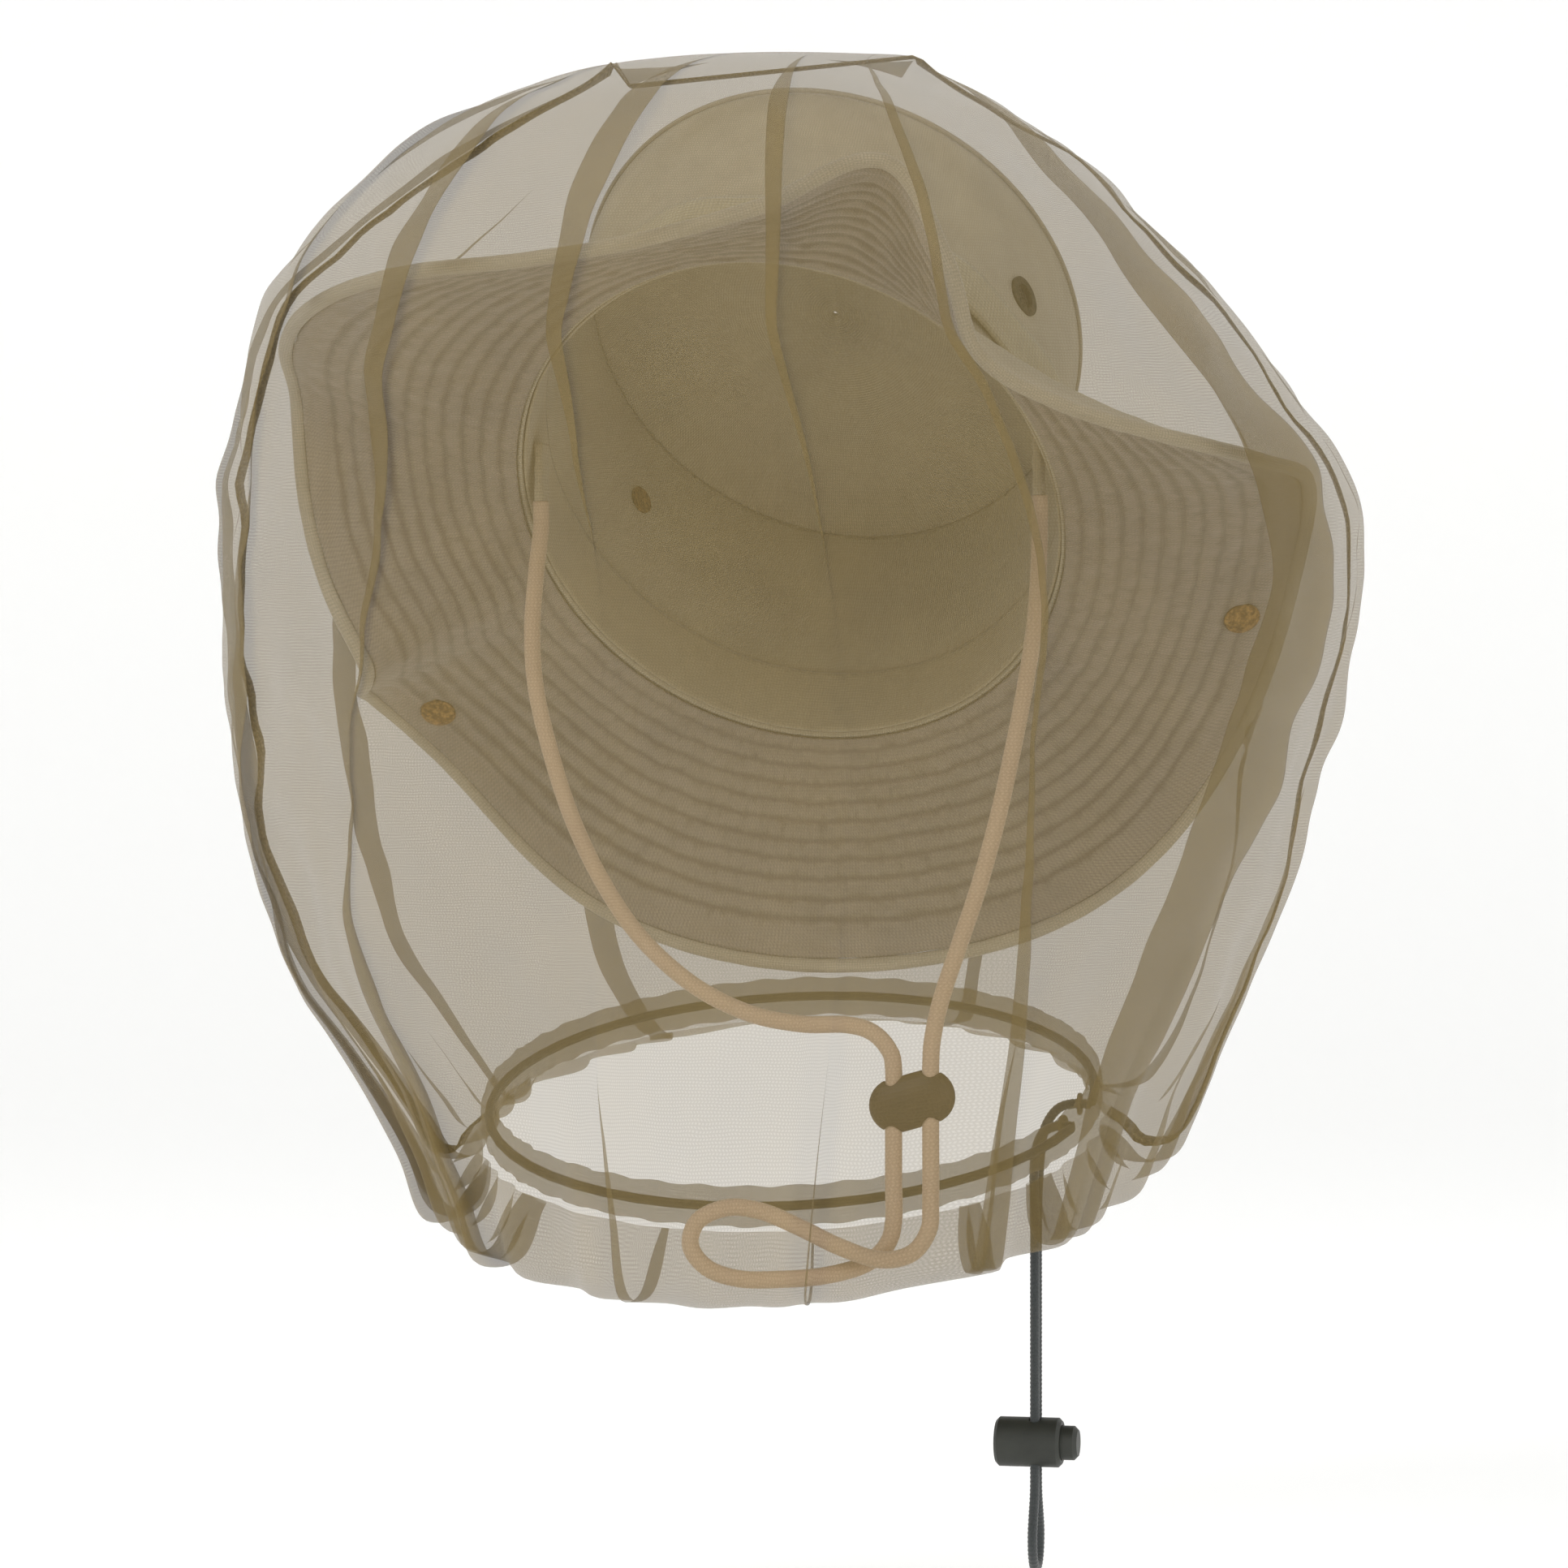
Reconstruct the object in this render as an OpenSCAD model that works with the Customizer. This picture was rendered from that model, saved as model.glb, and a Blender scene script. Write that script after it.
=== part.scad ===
/* [Hat crown] */
// Outside width of the crown at its mouth
crown_w = 170; // [150:1:180]
// Outside depth of the crown at its mouth, front to back
crown_d = 198; // [180:1:205]
// Height of the crown wall
crown_h = 88; // [80:1:90]
// How much narrower each side of the crown is at its top
crown_taper = 6; // [2:1:12]
// Rise of the domed crown tip
tip_rise = 5; // [2:1:6]
// Thickness of the hat cloth
cloth_t = 1.2; // [0.8:0.1:1.6]
// How far the hat is tipped back from level
hat_tilt = 45; // [42:1:47]

/* [Hat trim] */
// Height of the sweatband
sweat_h = 26; // [18:1:32]
// Height of the lower edge of the loop band above the brim
band_z = 11; // [8:1:14]
// Width of the loop band's webbing
band_w = 20; // [14:1:22]
// How far the loops of the band stand off the crown
band_loop = 2.4; // [1:0.1:3]
// Number of loops along the band
band_loops = 12; // [8:1:16]
// Diameter of a crown vent
vent_d = 10; // [7:0.5:12]
// Height of the vents above the brim
vent_z = 45; // [42:1:48]
// Place of each vent round the crown, from the front
vent_a = 62; // [50:1:75]

/* [Brim] */
// Width of the brim
brim_w = 72; // [70:1:73]
// Thickness of each of the two brim cloths
brim_t = 0.9; // [0.6:0.1:1.2]
// Diameter of the rolled brim binding
binding_d = 4.6; // [3.6:0.2:5.4]
// Place of the left snap round the brim, from the front
snap_left = 114; // [110:1:118]
// Place of the right snap round the brim, from the front
snap_right = -122; // [-126:1:-118]
// Distance of each snap from the brim's edge
snap_inset = 12; // [11:1:18]
// Diameter of a snap's cap
snap_d = 11.5; // [9:0.5:13]
// Diameter of the stem that joins the snap's halves
stem_d = 3; // [2:0.5:4]

/* [Chin cord] */
// Diameter of the chin cord
chin_d = 5; // [4:0.2:5.4]
// Clearance round the chin cord in its slider
slider_gap = 0.4; // [0.3:0.1:0.6]
// Length of the chin slider
slider_l = 26; // [24:1:30]
// Height of the chin slider, along its cord holes
slider_h = 16; // [12:1:17]
// Thickness of the chin slider
slider_t = 8.6; // [8.2:0.2:9.4]
// Tilt of the chin slider, wearer's left side up
slider_tilt = 16; // [0:1:20]

/* [Net] */
// Thickness of the net's wall
net_t = 1; // [0.8:0.1:1.4]
// Width of the seam tape
seam_w = 8; // [5:0.5:10]
// Place of the right seam round the net, from the front
seam_right = -88; // [-96:1:-80]
// Place of the left seam round the net, from the front
seam_left = 104; // [96:1:112]

/* [Neck hem] */
// Half of the neck opening's width, to the middle of the hem
hem_rx = 94; // [90:1:96]
// Half of the neck opening's depth, to the middle of the hem
hem_ry = 75; // [72:1:77]
// Height of the hem
hem_h = 12; // [10:1:13]
// Thickness of the hem, with the cord inside
hem_t = 5; // [5:0.2:5.6]
// Diameter of the elastic drawcord
draw_d = 3; // [2.4:0.2:3]
// Clearance round the drawcord
draw_gap = 0.35; // [0.3:0.05:0.4]

/* [Cord lock] */
// Outside diameter of the barrel
lock_d = 15; // [14.6:0.2:17]
// Length of the barrel
lock_l = 20; // [18.4:0.2:22]
// Diameter of the plunger
plunger_d = 10.4; // [10:0.1:11]
// How far the plunger's head stands out
plunger_out = 5; // [4.4:0.2:7]
// Travel of the plunger
plunger_travel = 4; // [3:0.2:4]
// Running clearance of the plunger in the barrel, on the radius
plunger_gap = 0.2; // [0.15:0.05:0.3]

/* [Hidden] */
$fn = 48;

touch = 0.1;          // gap between layers that lie on each other
crown_steps = 48;
brim_steps = 90;
brim_rows = 5;
binding_sides = 8;
hem_steps = 48;
panel_steps = 24;

// The brim's wave: place round the hat, droop below the crown's mouth plane, how much wider than
// the brim's width
brim_wave = [
    [-180, 40, -1], [-152, 26, 3], [-131, 4, 4], [-116, 5, 4], [-104, 30, -10], [-92, 6, -6],
    [-78, -12, 0], [-64, 2, 0], [-50, 18, 0], [-35, 33, 0], [-20, 44, 0], [-5, 46, 0],
    [9, 38, 0], [20, 23, 1], [29, 38, 0], [37, 53, -1], [49, 52, -1], [62, 40, 0],
    [76, 19, 0], [90, -6, 0], [108, -17, 0], [130, -6, 2], [150, 24, 1], [167, 38, -1]
];
brim_curl = 1.25;     // how the droop gathers towards the brim's edge
snap_up = brim_w - snap_inset;   // height of a stud, which a folded brim's snap meets
function snap_a(side) = side > 0 ? snap_left : snap_right;

// Level rings of the net: height, drop at the front, how far beyond the flat brim's edge at the
// sides and at the front and back, and middle in Y. Over the hat the height is a share of its peak.
peak_z = (crown_h + tip_rise) * cos(hat_tilt) + (crown_d / 2 - crown_taper) * sin(hat_tilt);
ridge_z = peak_z + 1.5;
ridge_half = 60;
ridge_y = -4;
hat_rows = [
    [0.966, 0, -77, -103, -14], [0.867, 0, -47, -59, -16], [0.715, 0, -23, -27, -16],
    [0.502, 0, -6, -18, -12], [0.274, 0, 5, -17, -11], [0, 0, 11, -21, -7]
];
drape_rows = [
    [-40, 0, 13, -25, -4], [-80, 0, 11, -30, -2], [-115, 2, 4, -36, 0], [-145, 6, -7, -44, 0],
    [-170, 14, -20, -52, 0]
];
// The gutter's rings, by how far they are beyond the hem
gutter_rows = [[-189, 26, 30, 37, 0], [-198, 36, 18, 30, 0], [-197, 36, 7, 14, 0]];
hem_z = -181;         // middle of the hem at the sides
hem_drop = 28;        // how much lower it is at the front, and higher at the back
net_heart = [0, 0, -40];
net_reach = 150;      // a middling distance of the net from its heart

// Chin cord: from the right tab down to the slider, round the slack in the gutter, back up
tab_t = 3;
tab_w = 9;
tab_h = 18;
tab_x = crown_w / 2 - 2 * cloth_t - touch - tab_t / 2 - 2.8;
tab_y = -4;
tab_z = 3;
slider_at = [54, -80, -177];
slider_pitch = 11;
chin_route = [
    [-78.5, -4, 3], [-78.5, -4, -6], [-79, -8, -20], [-78, -16, -38], [-74, -26, -56],
    [-67, -34, -76], [-58, -42, -96], [-46, -51, -115], [-32, -60, -131], [-15, -67, -144],
    [3, -73, -152], [20, -77, -155], [34, -79, -155], [42, -80, -157], [47, -80, -162],
    [48.5, -80, -168], [48.5, -80, -186], [48.5, -80, -200], [48.5, -80, -212],
    [46.5, -80.5, -219], [40.5, -83, -224.5], [30, -87.5, -227.5], [18, -91, -228.5],
    [6, -93, -228.5], [-3.5, -94.5, -225.5], [-8.5, -95.5, -219], [-6, -96.5, -211.5],
    [3, -97, -207.5], [13, -96.5, -208.5], [24, -95.5, -213], [35, -93, -218.5],
    [46, -88.5, -222.5], [54.5, -84, -221], [59, -80.8, -214.5], [59.5, -80, -206],
    [59.5, -80, -186], [59.5, -80, -167], [60, -79, -158], [62, -76, -147], [66, -70, -132],
    [70.5, -61, -114], [74, -51, -95], [76.5, -41, -76], [78.5, -30, -56], [79.5, -19, -37],
    [79, -9, -20], [78.5, -4, -6], [78.5, -4, 3]
];

// Drawcord: out of the front eyelet, down through the lock, round, and up to the back eyelet
exit_front = 76;
exit_back = 88;
lock_at = [78.5, -10.5, -284];
strand_pitch = 4.2;
draw_route = [
    [91.2, -18.1, -187.8], [86, -17, -187.8], [81.6, -16, -190], [79.2, -15, -195.5],
    [78.5, -13.9, -203], [78.5, -13, -213], [78.5, -12.6, -222], [78.5, -12.6, -240],
    [78.5, -12.6, -258], [78.5, -12.6, -276], [78.5, -12.6, -294], [78.5, -13.2, -300],
    [78.5, -15.4, -306], [78.5, -17, -311.5], [78.5, -16.4, -317], [78.5, -14, -320.8],
    [78.5, -10.5, -322], [78.5, -7, -320.8], [78.5, -4.6, -317], [78.5, -4, -311.5],
    [78.5, -5.6, -306], [78.5, -7.8, -300], [78.5, -8.4, -294], [78.5, -8.4, -276],
    [78.5, -8.4, -258], [78.5, -8.4, -240], [78.5, -8.4, -222], [78.5, -7.7, -211],
    [79, -6.3, -199], [80, -4.7, -190], [83.4, -3.4, -184], [88, -2.8, -182], [93.9, -2.6, -182]
];

// ---- helpers -------------------------------------------------------------

function unit(v) = v / norm(v);
function lerp(a, b, t) = a + (b - a) * t;

// From the hat's own frame (its mouth level) to the worn frame
function worn(p) = [
    p.x,
    p.y * cos(hat_tilt) + p.z * sin(hat_tilt),
    p.z * cos(hat_tilt) - p.y * sin(hat_tilt)
];

// Two triangles of a four-sided facet; where a section doubles back, its second half is cut
// along the other diagonal, so that facing surfaces have the same creases
function quad(a, b, c, d) = [[a, b, c], [a, c, d]];
function quad_back(a, b, c, d) = [[a, b, d], [b, c, d]];
function band_faces(n, m, turns) = [
    for (i = [0:turns - 1]) for (j = [0:m - 1])
        let (
            a = i * m + j, b = i * m + (j + 1) % m,
            c = ((i + 1) % n) * m + (j + 1) % m, d = ((i + 1) % n) * m + j)
        each (j < m / 2 ? quad(a, b, c, d) : quad_back(a, b, c, d))
];

// Sections joined in a closed ring
module ring_of(sections) {
    n = len(sections);
    m = len(sections[0]);
    polyhedron(points = [for (s = sections) each s], faces = band_faces(n, m, n), convexity = 6);
}

// Sections joined in a row, each end closed by one flat polygon
module row_of(sections) {
    n = len(sections);
    m = len(sections[0]);
    polyhedron(
        points = [for (s = sections) each s],
        faces = concat(
            band_faces(n, m, n - 1),
            [[for (j = [m - 1:-1:0]) j], [for (j = [0:m - 1]) (n - 1) * m + j]]),
        convexity = 6);
}

// Sections of two facing rows of points, each end closed by a strip between the rows
module sheet_of(sections) {
    n = len(sections);
    m = len(sections[0]);
    last = (n - 1) * m;
    polyhedron(
        points = [for (s = sections) each s],
        faces = concat(
            band_faces(n, m, n - 1),
            [for (j = [0:m / 2 - 2]) each quad(m - 1 - j, m - 2 - j, j + 1, j)],
            [for (j = [0:m / 2 - 2])
                each quad(last + j, last + j + 1, last + m - 2 - j, last + m - 1 - j)]),
        convexity = 6);
}

function tangents(p) = [
    for (i = [0:len(p) - 1]) unit(p[min(i + 1, len(p) - 1)] - p[max(i - 1, 0)])
];
// A normal carried along the route with no twist
function normals(t, start, i = 0, found = []) = i == len(t) ? found :
    let (from = i == 0 ? start : found[i - 1])
    normals(t, start, i + 1, concat(found, [unit(from - t[i] * (from * t[i]))]));

// A round cord of diameter d along a route
module cord(route, d, start, sides = 8) {
    t = tangents(route);
    n = normals(t, start);
    row_of([
        for (i = [0:len(route) - 1]) [
            for (j = [0:sides - 1])
                let (q = -360 * j / sides)
                route[i] + d / 2 * (cos(q) * n[i] + sin(q) * cross(t[i], n[i]))
        ]
    ]);
}

// Puts a turned part at p with its axis along n
module stand_on(p, n) {
    translate(p) rotate([0, acos(n.z), atan2(n.y, n.x)]) children();
}

module mirror_side(side) {
    mirror([side < 0 ? 1 : 0, 0, 0]) children();
}

// ---- crown ---------------------------------------------------------------

// A point of the crown's wall: place round it, height, distance outside its outer face
function crown_point(a, h, off) =
    let (in = crown_taper * h / crown_h)
    worn([(crown_w / 2 - in + off) * sin(a), -(crown_d / 2 - in + off) * cos(a), h]);
function crown_out(a) = worn(unit([sin(a) / crown_w, -cos(a) / crown_d, 0]));

module crown_hoop(low, high, off_in, off_out) {
    mid = (low + high) / 2;
    ring_of([
        for (i = [0:crown_steps - 1])
            let (a = 360 * i / crown_steps)
            [
                crown_point(a, low, off_out), crown_point(a, mid, off_out), crown_point(a, high, off_out),
                crown_point(a, high, off_in), crown_point(a, mid, off_in), crown_point(a, low, off_in)
            ]
    ]);
}

module crown_side() color([0.62, 0.58, 0.48]) {
    difference() {
        crown_hoop(0, crown_h, -cloth_t, 0);
        for (side = [-1, 1]) {
            stand_on(crown_point(side * vent_a, vent_z, -cloth_t / 2), crown_out(side * vent_a))
                cylinder(h = 4 * cloth_t, d = vent_d, center = true);
            stand_on(crown_point(snap_a(side), snap_up, -cloth_t / 2), crown_out(snap_a(side)))
                cylinder(h = 4 * cloth_t, d = stem_d + 0.4, center = true);
        }
    }
}

function tip_ring(f, up) = [
    for (i = [0:crown_steps - 1])
        let (a = 360 * i / crown_steps, in = crown_taper)
        worn([
            (crown_w / 2 - in) * f * sin(a), -(crown_d / 2 - in) * f * cos(a),
            crown_h + up + tip_rise * (1 - f * f)
        ])
];

module crown_top() color([0.64, 0.6, 0.5]) {
    steps = [0.03, 0.35, 0.65, 0.85, 1];
    row_of(concat(
        [for (f = steps) tip_ring(f, 0)],
        [for (k = [len(steps) - 1:-1:0]) tip_ring(steps[k], cloth_t)]));
}

module sweatband() color([0.55, 0.5, 0.4]) {
    crown_hoop(0, sweat_h, -2 * cloth_t - touch, -cloth_t - touch);
}

module hat_band() color([0.58, 0.54, 0.42]) {
    ring_of([
        for (i = [0:band_loops * 8 - 1])
            let (
                a = 360 * i / (band_loops * 8),
                off = touch + 0.1 + band_loop * pow(sin(a * band_loops / 2), 2),
                top = band_z + band_w)
            [
                crown_point(a, band_z, off + cloth_t), crown_point(a, top, off + cloth_t),
                crown_point(a, top, off), crown_point(a, band_z, off)
            ]
    ]);
}

module vent_ring(side) color([0.3, 0.29, 0.24]) {
    lip = 1.4;
    stand_on(crown_point(side * vent_a, vent_z, 0), crown_out(side * vent_a)) rotate_extrude() {
        translate([vent_d / 2 - 1.1, -cloth_t - 0.7]) square([1, cloth_t + 1.2]);
        translate([vent_d / 2 - 1.1, 0.35]) square([lip + 1.1, 0.9]);
    }
}

module vent_screen(side) color([0.16, 0.16, 0.14]) {
    stand_on(crown_point(side * vent_a, vent_z, -cloth_t / 2), crown_out(side * vent_a))
        cylinder(h = 0.5, d = vent_d - 2.3, center = true);
}

// ---- brim ----------------------------------------------------------------

function wave_knot(i) =
    let (n = len(brim_wave), k = (i + n) % n)
    brim_wave[k] + [i < 0 ? -360 : i >= n ? 360 : 0, 0, 0];
function wave_at(a) =
    let (
        i = max([for (k = [0:len(brim_wave) - 1]) if (brim_wave[k][0] <= a) k]),
        p0 = wave_knot(i - 1), p1 = wave_knot(i), p2 = wave_knot(i + 1), p3 = wave_knot(i + 2),
        w = p2[0] - p1[0], t = (a - p1[0]) / w,
        m1 = (p2 - p0) * w / (p2[0] - p0[0]), m2 = (p3 - p1) * w / (p3[0] - p1[0]))
    (2 * t * t * t - 3 * t * t + 1) * p1 + (t * t * t - 2 * t * t + t) * m1
        + (3 * t * t - 2 * t * t * t) * p2 + (t * t * t - t * t) * m2;
function wrapped(a) = a - 360 * floor((a + 180) / 360);

// The brim's middle surface: place round it, share of the way out
function brim_point(a, s) =
    let (
        w = wave_at(wrapped(a)),
        base = [(crown_w / 2 + touch) * sin(a), -(crown_d / 2 + touch) * cos(a), 0],
        out = unit([sin(a) / crown_w, -cos(a) / crown_d, 0]),
        reach = brim_w + w[2],
        run = reach * s * cos(w[1]),
        fall = reach * pow(s, brim_curl) * sin(w[1]))
    worn(base + out * run - [0, 0, fall]);
function brim_up(a, s) =
    let (low = max(s - 0.03, 0.001))
    unit(cross(brim_point(a + 1, s) - brim_point(a - 1, s), brim_point(a, low + 0.03) - brim_point(a, low)))
    * -1;

module brim_layer(low, high) {
    ring_of([
        for (i = [0:brim_steps - 1])
            let (a = 360 * i / brim_steps)
            concat(
                [for (k = [0:brim_rows]) let (s = k / brim_rows) brim_point(a, s) + high * brim_up(a, s)],
                [for (k = [brim_rows:-1:0]) let (s = k / brim_rows) brim_point(a, s) + low * brim_up(a, s)])
    ]);
}

module at_snap(side, lift) {
    share = 1 - snap_inset / (brim_w + wave_at(snap_a(side))[2]);
    p = brim_point(snap_a(side), share);
    n = brim_up(snap_a(side), share);
    stand_on(p + lift * n, n) children();
}

module snap_holes() {
    for (side = [-1, 1])
        at_snap(side, 0) cylinder(h = 8, d = stem_d + 0.4, center = true);
}

module brim_top() color([0.62, 0.58, 0.47]) {
    difference() {
        brim_layer(touch / 2, touch / 2 + brim_t);
        snap_holes();
    }
}

module brim_underside() color([0.46, 0.42, 0.33]) {
    difference() {
        brim_layer(-touch / 2 - brim_t, -touch / 2);
        snap_holes();
    }
}

module brim_binding() color([0.7, 0.66, 0.55]) {
    ring_of([
        for (i = [0:brim_steps - 1])
            let (
                a = 360 * i / brim_steps,
                edge = brim_point(a, 1), up = brim_up(a, 1),
                along = unit(brim_point(a + 1, 1) - brim_point(a - 1, 1)),
                out = cross(up, along) * -1,
                middle = edge + out * (binding_d / 2 + 0.2))
            [
                for (j = [0:binding_sides - 1])
                    let (q = 360 * (j + 0.5) / binding_sides)
                    middle + binding_d / 2 * (cos(q) * out - sin(q) * up)
            ]
    ]);
}

snap_stand = brim_t + 0.7;   // how far a snap's halves stand from the brim's middle surface
module snap_cap(side) color([0.5, 0.38, 0.2]) {
    stem_l = 2 * snap_stand + 1;
    at_snap(side, -snap_stand) mirror([0, 0, 1]) rotate_extrude() polygon([
        [0, -stem_l], [stem_d / 2, -stem_l], [stem_d / 2, 0], [snap_d / 2, 0], [snap_d / 2, 0.6],
        [snap_d / 2 - 0.5, 1.2], [snap_d / 2 - 2, 1.7], [snap_d / 2 - 4, 2], [0, 2]
    ]);
}

module snap_socket(side) color([0.45, 0.35, 0.2]) {
    at_snap(side, snap_stand) rotate_extrude()
        polygon([
            [stem_d / 2 + touch, 0], [5, 0], [5, 0.8], [4.4, 3], [3.6, 3], [3.4, 1.4],
            [stem_d / 2 + touch, 1.4]
        ]);
}

module crown_stud(side) color([0.48, 0.37, 0.2]) {
    stand_on(crown_point(snap_a(side), snap_up, 0.4), crown_out(snap_a(side))) rotate_extrude()
        polygon([
            [0, 1.2], [0, 3.6], [2.2, 3.6], [3, 3], [3, 2.3], [2.3, 1.6], [2.3, 0.9], [5, 0.7], [5, 0],
            [stem_d / 2 + touch, 0], [stem_d / 2 + touch, 1.2]
        ]);
}

module stud_post(side) color([0.45, 0.35, 0.2]) {
    stand_on(crown_point(snap_a(side), snap_up, -cloth_t - 0.5), crown_out(snap_a(side)))
        rotate_extrude() {
            translate([0, -0.8]) square([4.5, 0.8]);
            square([stem_d / 2, cloth_t + 1.7]);
        }
}

// ---- chin cord -----------------------------------------------------------

module chin_cord_tab(side) color([0.6, 0.54, 0.42]) {
    mirror_side(side)
        translate([tab_x - tab_t / 2, tab_y - tab_w / 2, tab_z]) cube([tab_t, tab_w, tab_h]);
}

module chin_cord() color([0.71, 0.61, 0.49]) {
    cord(chin_route, chin_d, [0, 1, 0]);
}

module chin_cord_slider() color([0.3, 0.27, 0.18]) {
    end_r = slider_h / 2;
    translate(slider_at) difference() {
        rotate([0, -slider_tilt, 0]) hull()
            for (side = [-1, 1])
                translate([side * (slider_l / 2 - end_r), 0, 0])
                    scale([1, slider_t / slider_h, 1]) sphere(r = end_r, $fn = 32);
        for (side = [-1, 1])
            translate([side * slider_pitch / 2, 0, 0])
                cylinder(h = 2 * slider_h, d = chin_d + 2 * slider_gap, center = true);
    }
}

// ---- net -----------------------------------------------------------------

hem_row = [hem_z - hem_h / 2 - 2 * touch - net_t, hem_drop, hem_rx, hem_ry, 0];
brim_edge = [0, 0, crown_w / 2 + brim_w, crown_d / 2 + brim_w, 0];
hem_edge = [0, 0, hem_rx, hem_ry, 0];
all_rows = concat(
    [for (r = hat_rows) [r[0] * peak_z, r[1], r[2], r[3], r[4]] + brim_edge],
    [for (r = drape_rows) r + brim_edge],
    [for (r = gutter_rows) r + hem_edge],
    [hem_row]);

function row_point(r, a) = [r[2] * sin(a), r[4] - r[3] * cos(a), r[0] - r[1] * cos(a)];
// Inner face of the net, drawn towards its heart
function inner(p) = net_heart + (p - net_heart) * (1 - net_t / net_reach);

// One panel's line from the ridge to the hem: share of the panel's width, first and last place
function panel_line(u, a0, a1, x0) = concat(
    [[x0 * cos(180 * u), ridge_y, ridge_z]],
    [for (r = all_rows) row_point(r, lerp(a0, a1, u))]);

module net_panel(a0, a1, x0) {
    sheet_of([
        for (i = [0:panel_steps])
            let (line = panel_line(i / panel_steps, a0, a1, x0), n = len(line))
            concat(line, [for (k = [n - 1:-1:0]) inner(line[k])])
    ]);
}

module net_front() color([0.62, 0.56, 0.42, 0.6]) {
    net_panel(seam_right, seam_left, -ridge_half);
}

module net_back() color([0.58, 0.53, 0.39, 0.6]) {
    net_panel(seam_left, seam_right + 360, ridge_half);
}

// The way along a row of the net, for laying the seam tape flat on it
function row_way(r, a) = unit(row_point(r, a + 1) - row_point(r, a - 1));

module net_seam() color([0.37, 0.31, 0.2]) {
    rise = 1.2;
    lift = 0.3;
    last = len(all_rows) - 1;
    right = panel_line(0, seam_right, seam_left, -ridge_half);
    left = panel_line(1, seam_right, seam_left, -ridge_half);
    over = [for (k = [1:5]) [lerp(-ridge_half, ridge_half, k / 6), ridge_y, ridge_z]];
    path = concat([for (k = [last + 1:-1:0]) right[k]], over, left);
    ways = concat(
        [for (k = [last:-1:0]) row_way(all_rows[k], seam_right)],
        [for (k = [0:6]) [0, 1, 0]],
        [for (k = [0:last]) row_way(all_rows[k], seam_left)]);
    t = tangents(path);
    row_of([
        for (i = [0:len(path) - 1])
            let (
                out = unit(cross(ways[i], t[i])),
                up = out * (path[i] - net_heart) > 0 ? out : -out,
                side = cross(t[i], up),
                p = path[i])
            [
                p - side * seam_w / 2 + up * lift, p - side * seam_w / 2 + up * (rise + lift),
                p + side * seam_w / 2 + up * (rise + lift), p + side * seam_w / 2 + up * lift
            ]
    ]);
}

// ---- hem and drawcord ----------------------------------------------------

function hem_middle(a) = [hem_rx * sin(a), -hem_ry * cos(a), hem_z - hem_drop * cos(a)];
function hem_in(a) = unit([-sin(a), cos(a), 0]);

function hem_section(a, half_t, half_h, corner) =
    let (out = -hem_in(a), p = hem_middle(a))
    [
        for (c = [
            [half_t, corner - half_h], [half_t, half_h - corner], [half_t - corner, half_h],
            [corner - half_t, half_h], [-half_t, half_h - corner], [-half_t, corner - half_h],
            [corner - half_t, -half_h], [half_t - corner, -half_h]
        ]) p + c[0] * out + [0, 0, c[1]]
    ];

module neck_hem() color([0.66, 0.6, 0.46]) {
    bore = draw_d / 2 + draw_gap;
    difference() {
        ring_of([for (i = [0:hem_steps - 1]) hem_section(360 * i / hem_steps, hem_t / 2, hem_h / 2, 0.8)]);
        ring_of([for (i = [0:hem_steps - 1]) hem_section(360 * i / hem_steps, bore, bore, 0.55 * bore)]);
        for (a = [exit_front, exit_back])
            stand_on(hem_middle(a), hem_in(a)) cylinder(h = hem_t, d = draw_d + 2 * draw_gap);
    }
}

module drawcord_in_hem() color([0.25, 0.27, 0.25]) {
    clear = asin((draw_d / 2 + 0.4) / hem_rx);
    from = exit_back + clear;
    to = 360 + exit_front - clear;
    cord([for (i = [0:hem_steps]) hem_middle(lerp(from, to, i / hem_steps))], draw_d, [0, 0, 1]);
}

module hem_eyelet(a) color([0.4, 0.34, 0.22]) {
    stand_on(hem_middle(a) + hem_in(a) * (hem_t / 2 + 0.45), hem_in(a)) rotate_extrude()
        translate([draw_d / 2 + draw_gap, 0]) square([1.5, 0.8]);
}

module drawcord_loop() color([0.25, 0.27, 0.25]) {
    cord(draw_route, draw_d, [0, 0, 1]);
}

// ---- cord lock -----------------------------------------------------------

lock_wall = 2.5;
plunger_wall = 1.6;
slot_y = strand_pitch + draw_d + 2 * draw_gap;
slot_x = draw_d + 2 * draw_gap;
plunger_inner = -draw_d / 2 - 0.1 - plunger_wall;       // the plunger's inner end, from the strands
barrel_inner = plunger_inner - plunger_travel - 2.3 - lock_wall;

module lock_axis() {
    translate(lock_at) rotate([0, 90, 0]) children();
}

module cord_lock_barrel() color([0.13, 0.14, 0.12]) {
    edge = 1;
    difference() {
        lock_axis() translate([0, 0, barrel_inner]) difference() {
            rotate_extrude() polygon([
                [0, 0], [lock_d / 2 - edge, 0], [lock_d / 2, edge], [lock_d / 2, lock_l - edge],
                [lock_d / 2 - edge, lock_l], [0, lock_l]
            ]);
            translate([0, 0, lock_wall]) cylinder(h = lock_l, d = plunger_d + 2 * plunger_gap);
        }
        translate(lock_at) {
            cube([slot_x, slot_y - slot_x, 2 * lock_d], center = true);
            for (side = [-1, 1])
                translate([0, side * strand_pitch / 2, 0]) cylinder(h = 2 * lock_d, d = slot_x, center = true);
        }
    }
}

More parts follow.
